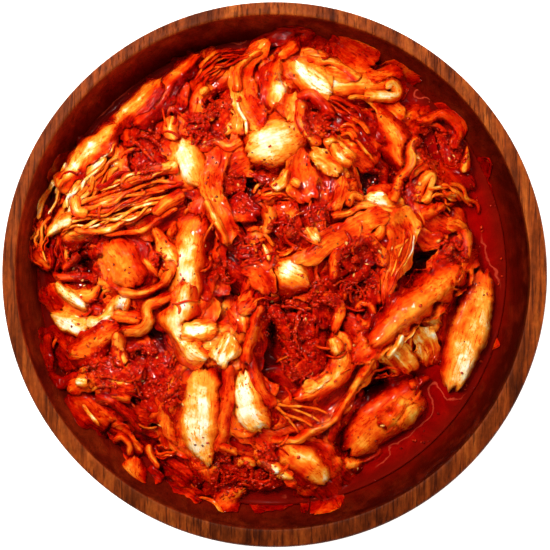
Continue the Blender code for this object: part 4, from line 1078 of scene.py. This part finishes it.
def joined(name, pieces, replaced, material):
    """Several bent pieces as one mesh."""
    points, faces, tones, smears, grains = [], [], [], [], []
    start = 0
    for piece in pieces:
        faces.append(slab_faces(*piece["x"].shape) + start)
        x, y, tone, smear = piece["x"], piece["y"], piece["tone"], piece["smear"]
        grain = np.stack([piece["s"], piece["t"], np.full(x.shape, float(piece["seed"]))], -1)
        coarse = (slice(None, None, 2), slice(None, None, 2))
        for part, height in ((slice(None), piece["top"]), (coarse, lowest_about(piece["under"]))):
            points.append(np.stack([x[part], y[part], height], -1).reshape(-1, 3))
            tones.append(tone[part].ravel())
            smears.append(smear[part].ravel())
            grains.append(grain[part].reshape(-1, 3))
            start += height.size
    obj = mesh_object(name, np.concatenate(points), np.concatenate(faces))
    note(obj, "tone", np.concatenate(tones))
    note(obj, "smear", np.concatenate(smears))
    note(obj, "grain", np.concatenate(grains))
    dress(obj, replaced, material)


def dress(obj, replaced, material):
    """Gives a piece its material, its body and the node that it stands for."""
    obj.data.materials.append(material)
    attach(obj, "root")
    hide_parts(replaced)


# ---------------------------------------------------------------- materials


class Finish:
    """A material and a few short ways to add nodes to it."""

    def __init__(self, name):
        self.material = bpy.data.materials.new(name)
        self.material.use_nodes = True
        self.tree = self.material.node_tree
        self.surface = self.tree.nodes["Principled BSDF"]

    def put(self, socket, value):
        """Links a socket to a value, or sets it; None leaves it alone."""
        if isinstance(value, bpy.types.NodeSocket):
            self.tree.links.new(value, socket)
        elif value is not None:
            socket.default_value = value

    def node(self, kind, **settings):
        """A new node with its settings."""
        made = self.tree.nodes.new(kind)
        for key, value in settings.items():
            setattr(made, key, value)
        return made

    def attribute(self, name, vector=False):
        """What note() wrote on the mesh."""
        made = self.node("ShaderNodeAttribute", attribute_name=name)
        return made.outputs["Vector" if vector else "Fac"]

    def place(self):
        """The spot on the object, in metres."""
        return self.node("ShaderNodeTexCoord").outputs["Object"]

    def scaled(self, vector, scale):
        """A vector times a number or another vector."""
        made = self.node("ShaderNodeVectorMath", operation="MULTIPLY")
        self.put(made.inputs[0], vector)
        self.put(made.inputs[1], scale)
        return made.outputs[0]

    def noise(self, vector, scale, detail=3.0, rough=0.5, warp=0.0):
        """Cloudy noise, from 0 to 1."""
        made = self.node("ShaderNodeTexNoise")
        self.put(made.inputs["Vector"], vector)
        self.put(made.inputs["Scale"], scale)
        self.put(made.inputs["Detail"], detail)
        self.put(made.inputs["Roughness"], rough)
        self.put(made.inputs["Distortion"], warp)
        return made.outputs["Fac"]

    def cells(self, vector, scale, output="Distance"):
        """Cells, by the distance from their middles or by a colour for each."""
        made = self.node("ShaderNodeTexVoronoi", feature="F1")
        self.put(made.inputs["Vector"], vector)
        self.put(made.inputs["Scale"], scale)
        return made.outputs[output]

    def sum(self, operation, a, b=None, c=None):
        """Arithmetic on up to three values."""
        made = self.node("ShaderNodeMath", operation=operation)
        for socket, value in zip(made.inputs, (a, b, c)):
            self.put(socket, value)
        return made.outputs[0]

    def span(self, value, low, high, to_low=0.0, to_high=1.0, smooth=False):
        """A value moved from one range to another."""
        made = self.node("ShaderNodeMapRange", interpolation_type="SMOOTHSTEP" if smooth else "LINEAR")
        for socket, given in zip(made.inputs, (value, low, high, to_low, to_high)):
            self.put(socket, given)
        return made.outputs[0]

    def mix(self, share, a, b, blend="MIX"):
        """Two colours mixed by a share."""
        made = self.node("ShaderNodeMix", data_type="RGBA", blend_type=blend)
        self.put(made.inputs["Factor"], share)
        self.put(made.inputs["A"], a)
        self.put(made.inputs["B"], b)
        return made.outputs["Result"]

    def tinted(self, value):
        """A grey colour as bright as a value."""
        made = self.node("ShaderNodeCombineColor")
        for socket in made.inputs:
            self.put(socket, value)
        return made.outputs["Color"]

    def ramp(self, value, stops):
        """A colour read off a ramp of (place, hexadecimal colour) stops."""
        made = self.node("ShaderNodeValToRGB")
        self.put(made.inputs["Fac"], value)
        ramp = made.color_ramp
        while len(ramp.elements) < len(stops):
            ramp.elements.new(0.5)
        for element, (place, colour) in zip(ramp.elements, stops):
            element.position = place
            element.color = paint(colour)
        return made.outputs["Color"]

    def bump(self, height, distance, strength=1.0):
        """A normal bent by a height."""
        made = self.node("ShaderNodeBump")
        self.put(made.inputs["Strength"], strength)
        self.put(made.inputs["Distance"], distance)
        self.put(made.inputs["Height"], height)
        return made.outputs["Normal"]


def paint(code):
    """Linear colour from a hexadecimal sRGB one."""
    channels = [int(code[k : k + 2], 16) / 255 for k in (0, 2, 4)]
    return tuple(c / 12.92 if c <= 0.04045 else ((c + 0.055) / 1.055) ** 2.4 for c in channels) + (1.0,)


# The stops past 1 are reached by painted shade in valleys and hollows, and by the reddest loose pieces.
TONE_SPAN = 1.2
TONES = (
    (0.0, "fff4e2"), (0.1, "ffdca0"), (0.22, "ffa636"), (0.38, "f47212"), (0.54, "e04006"),
    (0.68, "c41a00"), (0.84, "9c0500"), (1.0, "740000"), (1.2, "3a0000"),
)


def cabbage_finish(name, gloss=0.26, depth=0.3, veins=1.0):
    """Stained cabbage: streaks along each piece, red chilli specks, and gritty paste where it is smeared."""
    f = Finish(name)
    grain, spot = f.attribute("grain", vector=True), f.place()
    tone, smear = f.attribute("tone"), f.attribute("smear")
    streak = f.noise(f.scaled(grain, (0.10, 0.95, 1.0)), 1.0, 3.0, 0.6)
    fibre = f.noise(f.scaled(grain, (0.22, 3.2, 1.0)), 1.0, 2.0, 0.5)
    blotch = f.noise(spot, 210.0, 4.0, 0.62, 0.6)
    shade = f.sum("ADD", tone, f.span(streak, 0.3, 0.7, -0.045, 0.045))
    shade = f.sum("ADD", shade, f.span(fibre, 0.3, 0.7, -0.015, 0.015))
    shade = f.sum("ADD", shade, f.span(blotch, 0.3, 0.72, -0.12, 0.14))
    freckle = f.noise(f.scaled(grain, (0.5, 1.15, 1.0)), 1.0, 2.0, 0.6)
    dirty = f.span(f.noise(spot, 130.0, 2.0), 0.42, 0.62, 0.03, 0.22)
    shade = f.sum("MULTIPLY_ADD", f.span(freckle, 0.54, 0.62, smooth=True), dirty, shade)
    along = f.noise(f.scaled(grain, (0.07, 0.62, 1.0)), 1.0, 1.0, 0.5, 0.3)
    vein = f.span(f.sum("ABSOLUTE", f.sum("SUBTRACT", along, 0.5)), 0.0, 0.028, 1.0, 0.0, smooth=True)
    vein = f.sum("MULTIPLY", vein, f.span(f.noise(spot, 95.0, 2.0), 0.42, 0.56, 0.0, veins))
    shade = f.sum("MULTIPLY_ADD", vein, 0.17, shade)
    colour = f.ramp(f.sum("DIVIDE", shade, TONE_SPAN), [(place / TONE_SPAN, code) for place, code in TONES])
    bent = f.sum("ADD", f.cells(spot, 1150.0), f.span(f.noise(spot, 1900.0, 1.0), 0.3, 0.7, -0.12, 0.12))
    dots = f.span(bent, 0.08, 0.2, 1.0, 0.0, smooth=True)
    some = f.span(f.noise(spot, 300.0, 2.0), 0.48, 0.6, 0.0, 1.0, smooth=True)
    speck = f.ramp(f.noise(spot, 700.0, 0.0), ((0.4, "d05010"), (0.5, "b8621a"), (0.6, "946418")))
    colour = f.mix(f.sum("MULTIPLY", f.sum("MULTIPLY", dots, some), 0.6), colour, speck)
    grit = f.sum("ADD", f.sum("MULTIPLY", f.cells(spot, 1100.0, output="Color"), 0.5),
                 f.span(f.noise(spot, 330.0, 3.0, 0.6), 0.3, 0.7, 0.0, 0.6))
    flesh = f.ramp(grit, ((0.05, "660000"), (0.35, "8c0200"), (0.58, "ae0a00"), (0.8, "c82002"),
                          (1.0, "e04e14")))
    rough_edge = f.sum("ADD", smear, f.span(f.noise(spot, 520.0, 3.0, 0.7), 0.3, 0.7, -0.28, 0.28))
    cover = f.span(rough_edge, 0.38, 0.62, 0.0, 0.93, smooth=True)
    colour = f.mix(cover, colour, flesh)
    f.put(f.surface.inputs["Base Color"], colour)
    f.put(f.surface.inputs["Roughness"], f.span(blotch, 0.3, 0.7, gloss + 0.08, gloss - 0.06))
    f.put(f.surface.inputs["Subsurface Weight"], depth)
    f.put(f.surface.inputs["Subsurface Radius"], (1.0, 0.3, 0.1))
    f.put(f.surface.inputs["Subsurface Scale"], 0.003)
    f.put(f.surface.inputs["Specular IOR Level"], f.span(tone, 0.3, 0.62, 0.16, 0.04))
    f.put(f.surface.inputs["Coat Weight"], f.span(tone, 0.6, 1.0, 0.6, 0.4))
    f.put(f.surface.inputs["Specular Tint"], (1.0, 0.55, 0.3, 1.0))
    f.put(f.surface.inputs["Coat Roughness"], 0.03)
    fine = f.sum("ADD", f.sum("MULTIPLY", fibre, 0.5), f.sum("MULTIPLY", f.noise(spot, 700.0, 3.0, 0.6), 0.8))
    fine = f.sum("ADD", fine, f.sum("MULTIPLY", f.sum("MULTIPLY", cover, f.cells(spot, 1250.0)), 0.6))
    fine = f.sum("MULTIPLY_ADD", vein, -0.5, fine)
    f.put(f.surface.inputs["Normal"], f.bump(fine, 0.0004, 0.55))
    f.put(f.surface.inputs["Coat Normal"], f.bump(f.noise(spot, 430.0, 0.0), 0.0006, 0.8))
    return f.material


def flake_finish(name, light, dark, gloss):
    """Wet skin of a flake, a seed or a bit of paste, mottled between two colours."""
    f = Finish(name)
    spot = f.place()
    colour = f.mix(f.noise(spot, 300.0, 2.0), paint(light), paint(dark))
    f.put(f.surface.inputs["Base Color"], colour)
    f.put(f.surface.inputs["Roughness"], gloss)
    f.put(f.surface.inputs["Coat Weight"], 0.4)
    f.put(f.surface.inputs["Coat Roughness"], 0.15)
    f.put(f.surface.inputs["Normal"], f.bump(f.noise(spot, 1600.0, 2.0), 0.0003, 0.5))
    return f.material


# Millimetres from the food to the painted highlight line at an oil film's edge, in the brine's near
# attribute.
OIL_SHEEN_LINE_OFFSET = 3.2


def brine_finish():
    """Red pickling liquid, dark, glossy and a little cloudy; painted highlight line at the oil's edge by the
    food.
    """
    f = Finish("brine_liquid")
    spot = f.place()
    cloud = f.noise(spot, 95.0, 3.0, 0.6, 0.8)
    colour = f.ramp(cloud, ((0.25, "720000"), (0.5, "900000"), (0.75, "b00a02")))
    colour = f.mix(f.span(f.attribute("shallow"), 0.0, 1.0, 0.0, 0.75), colour, paint("520a02"))
    wavering = f.span(f.noise(spot, 120.0, 2.0), 0.3, 0.7, -1.1, 1.1)
    off_edge = f.sum("ABSOLUTE", f.sum("SUBTRACT", f.sum("ADD", f.attribute("near"), wavering),
                                       OIL_SHEEN_LINE_OFFSET))
    line = f.sum("MULTIPLY", f.span(off_edge, 0.12, 0.5, 0.5, 0.0, smooth=True),
                 f.span(f.noise(spot, 60.0, 1.0), 0.42, 0.56))
    # The pale d84a30 band is a painted highlight, where an oil film's edge would catch the light.
    colour = f.mix(line, colour, paint("d84a30"))
    f.put(f.surface.inputs["Base Color"], colour)
    f.put(f.surface.inputs["Roughness"], 0.16)
    f.put(f.surface.inputs["Specular IOR Level"], 0.14)
    f.put(f.surface.inputs["Subsurface Weight"], 0.1)
    f.put(f.surface.inputs["Subsurface Radius"], (1.0, 0.2, 0.08))
    f.put(f.surface.inputs["Subsurface Scale"], 0.004)
    f.put(f.surface.inputs["Normal"], f.bump(f.noise(spot, 160.0, 2.0, 0.5), 0.0006, 0.35))
    return f.material


def wood_finish():
    """Acacia: long brown grain, dark pores, redder and wet where brine soaked in, and painted shade on one
    side.
    """
    f = Finish("acacia_wood")
    spot = f.place()
    wet = f.attribute("wet")
    rings = f.noise(f.scaled(spot, (1.0, 0.12, 0.55)), 120.0, 5.0, 0.6, 0.9)
    streak = f.noise(f.scaled(spot, (1.0, 0.05, 0.6)), 460.0, 4.0, 0.65)
    pores = f.noise(f.scaled(spot, (1.0, 0.045, 0.5)), 1300.0, 2.0, 0.5)
    body = f.ramp(
        f.sum("ADD", f.sum("MULTIPLY", rings, 0.62), f.sum("MULTIPLY", streak, 0.4)),
        ((0.36, "441705"), (0.47, "6a2a0a"), (0.54, "843810"), (0.62, "9c4b18"), (0.72, "b26028")),
    )
    mottled = f.span(f.noise(f.scaled(spot, (1.0, 0.5, 1.0)), 520.0, 4.0, 0.7), 0.3, 0.7, 0.62, 1.38)
    body = f.mix(1.0, body, f.tinted(mottled), "MULTIPLY")
    pore_share = f.span(pores, 0.35, 0.44, 0.7, 0.0, smooth=True)
    body = f.mix(pore_share, body, paint("3c1206"))
    stained = f.ramp(rings, ((0.3, "5e1206"), (0.5, "7c1c08"), (0.7, "98300e")))
    spotted = f.span(f.noise(f.scaled(spot, (1.0, 1.0, 0.45)), 260.0, 5.0, 0.72), 0.3, 0.7, 0.5, 1.5)
    stained = f.mix(1.0, stained, f.tinted(spotted), "MULTIPLY")
    # Painted shade: the wood is darkened towards 5a2408 on one side.
    body = f.mix(f.attribute("wood_side_shade"), body, paint("5a2408"), "MULTIPLY")
    # Painted shade: the stained wall is darkened towards 2c0300 on one side, mottled by this noise.
    soaked = f.span(f.noise(spot, 110.0, 4.0, 0.65), 0.3, 0.7, 0.65, 1.3)
    stained = f.mix(f.sum("MULTIPLY", f.attribute("wall_side_shade"), soaked), stained, paint("2c0300"))
    tide = f.sum("MULTIPLY", f.attribute("tide"), f.span(f.noise(spot, 160.0, 4.0, 0.6), 0.3, 0.65, 0.4, 1.1))
    stained = f.mix(tide, stained, paint("660600"))
    f.put(f.surface.inputs["Base Color"], f.mix(wet, body, stained))
    f.put(f.surface.inputs["Roughness"], f.span(wet, 0.0, 1.0, 0.5, 0.55))
    f.put(f.surface.inputs["Specular IOR Level"], f.span(wet, 0.0, 1.0, 0.12, 0.04))
    height = f.sum("ADD", f.sum("MULTIPLY", streak, 0.6), f.span(pores, 0.35, 0.44, 0.0, 0.8))
    f.put(f.surface.inputs["Normal"], f.bump(height, 0.00035, 0.6))
    return f.material


leaf_look = cabbage_finish("stained_cabbage")
stem_look = cabbage_finish("stained_cabbage_stem", 0.24, 0.3, 0.45)



def owned(*owners):
    """The pieces of some owners, in the order in which they were laid."""
    return [piece for piece in laid if piece["owner"] in owners]


def parted(pieces, middle):
    """The pieces to the left of a line along Y, and those to its right."""
    left = [piece for piece in pieces if piece["x"].mean() < middle]
    return left, [piece for piece in pieces if piece["x"].mean() >= middle]


for name in LARGE:
    joined(name + "_cut", owned(name), name, stem_look)

# A mesh may have 200,000 triangles: the loose pieces have more between them, and the leaves come close.
LOOSE_MIDDLE = -12
LEAVES_MIDDLE = -2
loose_left, loose_right = parted(owned("filler"), LOOSE_MIDDLE)
leaves_left, leaves_right = parted(owned("leaf", "pleated", "sheet"), LEAVES_MIDDLE)
GROUPS = {
    "cabbage_loose_left": loose_left,
    "cabbage_loose_right": loose_right,
    "cabbage_leaves_left": leaves_left,
    "cabbage_leaves_right": leaves_right,
    "cabbage_petioles": owned("petiole"),
    "cabbage_strips": owned("ribbon", "lump"),
    "cabbage_shreds": owned("strand"),
    "cabbage_mince": owned("mince"),
}
for name, members in GROUPS.items():
    joined(name, members, "kimchi_heap", stem_look if name == "cabbage_petioles" else leaf_look)

# ---------------------------------------------------------------- the core that fills the pile

CORE_RINGS = 46
CORE_SEGMENTS = 144
# The core shows only in the deepest gaps, and its dark red tone is painted shade there.
CORE_SHADE_TONE = 0.97
CORE_SMEAR = 0.25
turns = np.linspace(0, 2 * np.pi, CORE_SEGMENTS + 1)[:-1]
R, A = np.meshgrid(np.linspace(0, 1, CORE_RINGS), turns, indexing="ij")
reach = reach_along(HEAP_OUTLINE, 90 * np.cos(A), 90 * np.sin(A)) * R
core_x, core_y = reach * np.cos(A), reach * np.sin(A)
ix, iy = cell_of(core_x, core_y)
core_top = np.minimum(core_map[ix, iy], blurred(pile, 1)[ix, iy] - 0.6)
core_top += 0.5 * noise(core_x / 2.2, core_y / 2.2, 71)
core_under = np.maximum(wall_height(core_x, core_y) + 0.4, FLOOR_THICKNESS + 0.6)
core_top = np.maximum(core_top, core_under + 0.2)


def disc_faces(rings, segments):
    """Quads between the rings of a disc, upper then lower side, and the wall round its edge."""
    grid = np.arange(rings * segments).reshape(rings, segments)
    after = np.roll(grid, -1, 1)
    upper = np.stack([grid[:-1], grid[1:], after[1:], after[:-1]], -1).reshape(-1, 4)
    lower = upper[:, ::-1] + rings * segments
    wall = np.stack([grid[-1], grid[-1] + rings * segments, after[-1] + rings * segments, after[-1]], -1)
    return np.concatenate([upper, lower, wall])


def disc_object(name, x, y, top, under):
    """A closed disc from a grid of rings, with a height above and below each point."""
    points = np.concatenate([np.stack([x, y, z], -1).reshape(-1, 3) for z in (top, under)])
    return mesh_object(name, points, disc_faces(*x.shape))


core = disc_object("cabbage_core", core_x, core_y, core_top, core_under)
count = 2 * core_x.size
note(core, "tone", np.full(count, CORE_SHADE_TONE))
note(core, "smear", np.full(count, CORE_SMEAR))
note(core, "grain", np.tile(np.stack([core_x, core_y, core_x * 0], -1).reshape(-1, 3), (2, 1)))
dress(core, "kimchi_heap", leaf_look)

# ---------------------------------------------------------------- brine, drawn up where it meets the rest

BRINE_RINGS = 100
BRINE_SEGMENTS = 360
NEAR_STEPS = 8
NOT_NEAR = 9.0
FOOD_CLIMB = 0.7
FOOD_CLIMB_REACH = 0.9
WALL_CLIMB = 0.35
WALL_CLIMB_REACH = 1.1
wet_reach = OPENING_RADIUS * math.sqrt(1 - ((RIM - BRINE_LEVEL) / OPENING_DEPTH) ** 2) - 0.3
turns = np.linspace(0, 2 * np.pi, BRINE_SEGMENTS + 1)[:-1]
R, A = np.meshgrid(np.linspace(0, 1, BRINE_RINGS) ** 0.6, turns, indexing="ij")
brine_x = OPENING_SHIFT[0] + wet_reach * R * np.cos(A)
brine_y = OPENING_SHIFT[1] + wet_reach * R * np.sin(A)

# How far each cell is from the food that stands out of the brine, or NOT_NEAR.
standing = (pile > BRINE_LEVEL + 0.2).astype(float)
near = np.full(standing.shape, NOT_NEAR)
near[standing > 0] = 0
for _ in range(NEAR_STEPS):
    for axis in (0, 1):
        for step in (1, -1):
            near = np.minimum(near, np.roll(near, step, axis) + CELL)
ix, iy = cell_of(brine_x, brine_y)
climb = FOOD_CLIMB * np.exp(-near[ix, iy] / FOOD_CLIMB_REACH)
climb = climb + WALL_CLIMB * np.exp(-(wet_reach * (1 - R)) / WALL_CLIMB_REACH)
ripple = 0.12 * noise(brine_x / 7, brine_y / 7, 72) + 0.06 * noise(brine_x / 2.5, brine_y / 2.5, 73)
brine_top = BRINE_LEVEL + climb * (near[ix, iy] > 0) + ripple
floor_here = wall_height(brine_x, brine_y) + 0.3
brine_under = np.clip(floor_here, BRINE_LOW[2] + 0.3, BRINE_LEVEL - 0.8)
brine = disc_object("brine_pool", brine_x, brine_y, np.maximum(brine_top, brine_under + 0.3), brine_under)
note(brine, "shallow", np.tile(ease(R, 0.9, 1.0).ravel(), 2))
note(brine, "near", np.tile(blurred(near, 1)[ix, iy].ravel(), 2))
dress(brine, "brine", brine_finish())

# ---------------------------------------------------------------- the turned bowl

ROUNDING = 1.2
RIM_FALL = 0.7
TURN_STEPS = 216
TIDE_REACH = 5.0
# The directions in which painted shade darkens the brine-stained inner wall, and the dry wood, most.
WALL_SHADE_SIDE = math.radians(-35)
WOOD_SHADE_SIDE = math.radians(-75)


def bowl_rings():
    """(radius, height, share of the opening's shift, wetness) up the outside, over the rim and down again."""
    rings = [(0.0, 0.0, 0, 0.0), (FOOT_RADIUS - 6, 0.0, 0, 0.0), (FOOT_RADIUS - 0.6, 0.0, 0, 0.0)]
    for z in np.linspace(0, 1, 34) ** 1.1 * (RIM - ROUNDING - RIM_FALL):
        radius = BOWL_RADIUS * math.sqrt(1 - ((RIM - z) / OUTER_DEPTH) ** 2)
        rings.append((radius, z + 0.3 * (z == 0), 0, 0.0))
    outer = BOWL_RADIUS
    for turn in np.linspace(0, np.pi / 2, 7)[1:]:
        height = RIM - RIM_FALL - ROUNDING * (1 - math.sin(turn))
        rings.append((outer - ROUNDING * (1 - math.cos(turn)), height, 0.1, 0.0))
    for share in (0.25, 0.5, 0.75):
        low, high = OPENING_RADIUS + ROUNDING, outer - ROUNDING
        rings.append((high + (low - high) * share, RIM - RIM_FALL * (1 - share) ** 1.5, share, 0.0))
    for turn in np.linspace(np.pi / 2, 0, 7):
        drop = ROUNDING * (1 - math.sin(turn))
        rings.append((OPENING_RADIUS + ROUNDING * (1 - math.cos(turn)), RIM - drop, 1, 0.9 * (turn < 0.9)))
    for z in np.linspace(RIM - 2.2, FLOOR_THICKNESS, 34):
        radius = OPENING_RADIUS * math.sqrt(max(0, 1 - ((RIM - z) / OPENING_DEPTH) ** 2))
        rings.append((radius, z, 1, 1.0))
    return rings


rings = np.array(bowl_rings())
turns = np.linspace(0, 2 * np.pi, TURN_STEPS + 1)[:-1]
spin_x = rings[:, 0][:, None] * np.cos(turns) + rings[:, 2][:, None] * OPENING_SHIFT[0]
spin_y = rings[:, 0][:, None] * np.sin(turns) + rings[:, 2][:, None] * OPENING_SHIFT[1]
spin_z = np.repeat(rings[:, 1][:, None], TURN_STEPS, 1)
grid = np.arange(spin_x.size).reshape(spin_x.shape)
after = np.roll(grid, -1, 1)
quads = np.stack([grid[:-1], after[:-1], after[1:], grid[1:]], -1).reshape(-1, 4)
bowl = mesh_object("turned_bowl", np.stack([spin_x, spin_y, spin_z], -1).reshape(-1, 3), quads)
note(bowl, "wet", np.repeat(rings[:, 3], TURN_STEPS))
tide = np.exp(-np.maximum(0, rings[:, 1] - BRINE_LEVEL) / TIDE_REACH) * (rings[:, 3] > 0)
note(bowl, "tide", np.repeat(tide, TURN_STEPS))
# Painted shade on the inner wall, strongest towards the lower right.
note(bowl, "wall_side_shade", np.tile(0.5 + 0.5 * np.cos(turns - WALL_SHADE_SIDE), len(rings)))
# Painted shade on the dry wood, strongest towards the bottom.
note(bowl, "wood_side_shade", np.tile(0.5 * np.maximum(0, np.cos(turns - WOOD_SHADE_SIDE)) ** 2, len(rings)))
dress(bowl, "bowl", wood_finish())

# ---------------------------------------------------------------- chilli flakes and seeds

slope_x, slope_y = np.gradient(blurred(pile, 1), CELL)


def strewn(name, count, size, thickness, material, sides, chance):
    """Small flat bits lying on the pile, more of them where chance says so."""
    points, faces, done = [], [], 0
    while done < count:
        x, y = rng.uniform(-90, 90, 2)
        if math.hypot(x - OPENING_SHIFT[0], y - OPENING_SHIFT[1]) > 87 or rng.random() > chance(x, y):
            continue
        i, j = cell_of(np.array(x), np.array(y))
        floor_z = max(pile[i, j], BRINE_LEVEL + 0.1)
        if floor_z < wall_height(x, y):
            continue
        tilt = np.array([0, 0, 1.0])
        if floor_z > BRINE_LEVEL + 0.3:
            tilt = np.array([-slope_x[i, j], -slope_y[i, j], 1.0])
        tilt = tilt / np.linalg.norm(tilt) + rng.normal(0, 0.16, 3)
        tilt /= np.linalg.norm(tilt)
        first = np.cross(tilt, rng.normal(0, 1, 3))
        first /= np.linalg.norm(first)
        second = np.cross(tilt, first)
        long = rng.uniform(*size) / 2
        wide = long * rng.uniform(0.5, 0.85)
        turn = np.linspace(0, 2 * np.pi, sides + 1)[:-1]
        wobble = rng.uniform(0.75, 1.1, sides)
        ring = first * (np.cos(turn) * long * wobble)[:, None]
        ring = ring + second * (np.sin(turn) * wide * wobble)[:, None]
        middle = np.array([x, y, floor_z + 0.12])
        start = len(points)
        points.append(middle + tilt * thickness * 0.5)
        points.append(middle - tilt * thickness * 0.5)
        points.extend(middle + ring)
        for k in range(sides):
            a, b = start + 2 + k, start + 2 + (k + 1) % sides
            faces.append((start, a, b))
            faces.append((start + 1, b, a))
        done += 1
    obj = mesh_object(name, np.array(points), np.array(faces))
    dress(obj, "kimchi_heap", material)


def flake_chance(x, y):
    """How likely a flake is to lie at a spot: mostly where there is paste."""
    busy = 0.1 + 0.9 * float(ease(spots(PASTE_SPOTS, x, y) + 0.5 * noise(x / 8, y / 8, 81), 0.3, 0.9))
    return busy * (1 - 0.9 * float(spots(CLEAN_SPOTS, x, y)))


def paste_chance(x, y):
    """How likely a bit of paste is to lie at a spot: only where it is thick."""
    thick = spots(PASTE_SPOTS, x, y) + 0.4 * noise(x / 6, y / 6, 82) - spots(CLEAN_SPOTS, x, y)
    return float(ease(thick, 0.5, 1.0))


red_flake = flake_finish("chilli_flake_red", "b81203", "e03c0c", 0.3)
paste_look = flake_finish("chilli_paste_bit", "a40a00", "dc2c06", 0.16)
dark_flake = flake_finish("chilli_flake_dark", "5c0600", "93140a", 0.3)
seed_look = flake_finish("chilli_seed_skin", "f0b862", "d98436", 0.35)
strewn("paste_bits", 1000, (1.0, 2.6), 0.8, paste_look, 9, paste_chance)
strewn("chilli_flakes_red", 900, (0.8, 1.8), 0.3, red_flake, 6, flake_chance)
strewn("chilli_flakes_dark", 700, (0.7, 1.5), 0.3, dark_flake, 6, flake_chance)
strewn("chilli_seeds", 36, (1.7, 2.2), 0.6, seed_look, 10, flake_chance)

# ---------------------------------------------------------------- floor, light and camera

bpy.ops.mesh.primitive_plane_add(size=6.0, location=(0, 0, 0))
floor = bpy.context.object
floor.name = "pale_floor"
f = Finish("white_floor")
f.put(f.surface.inputs["Base Color"], (0.93, 0.93, 0.93, 1.0))
f.put(f.surface.inputs["Roughness"], 0.9)
f.put(f.surface.inputs["Emission Color"], (1.0, 1.0, 1.0, 1.0))
f.put(f.surface.inputs["Emission Strength"], 0.85)
floor.data.materials.append(f.material)


def softbox(name, place, target, size, power, colour, glossy=True):
    """A square lamp turned towards a target; with glossy off it leaves no reflection."""
    light = bpy.data.lights.new(name, "AREA")
    light.shape = "SQUARE"
    light.size = size
    light.energy = power
    light.color = colour
    obj = bpy.data.objects.new(name, light)
    bpy.context.scene.collection.objects.link(obj)
    obj.location = place
    obj.rotation_euler = (Vector(target) - Vector(place)).to_track_quat("-Z", "Y").to_euler()
    obj.visible_glossy = glossy


softbox("key", (-0.48, 0.5, 0.9), (0, 0, 0.05), 0.6, 13.6, (1.0, 0.95, 0.86), False)
softbox("glint", (-0.36, 0.4, 0.95), (0, 0, 0.05), 0.15, 4.4, (1.0, 0.96, 0.89))
softbox("glint_above", (0.16, 0.5, 0.95), (0, 0, 0.05), 0.14, 2.4, (1.0, 0.96, 0.89))
softbox("fill", (0.75, -0.7, 0.75), (0, 0, 0.05), 0.8, 7.5, (1.0, 0.94, 0.86), False)

world = bpy.data.worlds.new("studio")
bpy.context.scene.world = world
world.use_nodes = True
world.node_tree.nodes["Background"].inputs["Color"].default_value = (1.0, 1.0, 1.0, 1.0)
world.node_tree.nodes["Background"].inputs["Strength"].default_value = 0.05

# FIELD is how much the picture takes in, level with the rim.
CAMERA_HEIGHT = 0.865
FIELD = 0.2013
lens = bpy.data.cameras.new("camera")
lens.angle = 2 * math.atan(0.5 * FIELD / (CAMERA_HEIGHT - RIM * MM))
camera = bpy.data.objects.new("camera", lens)
bpy.context.scene.collection.objects.link(camera)
camera.location = (0.0001, -0.0001, CAMERA_HEIGHT)
bpy.context.scene.camera = camera
bpy.context.scene.view_settings.view_transform = "Standard"
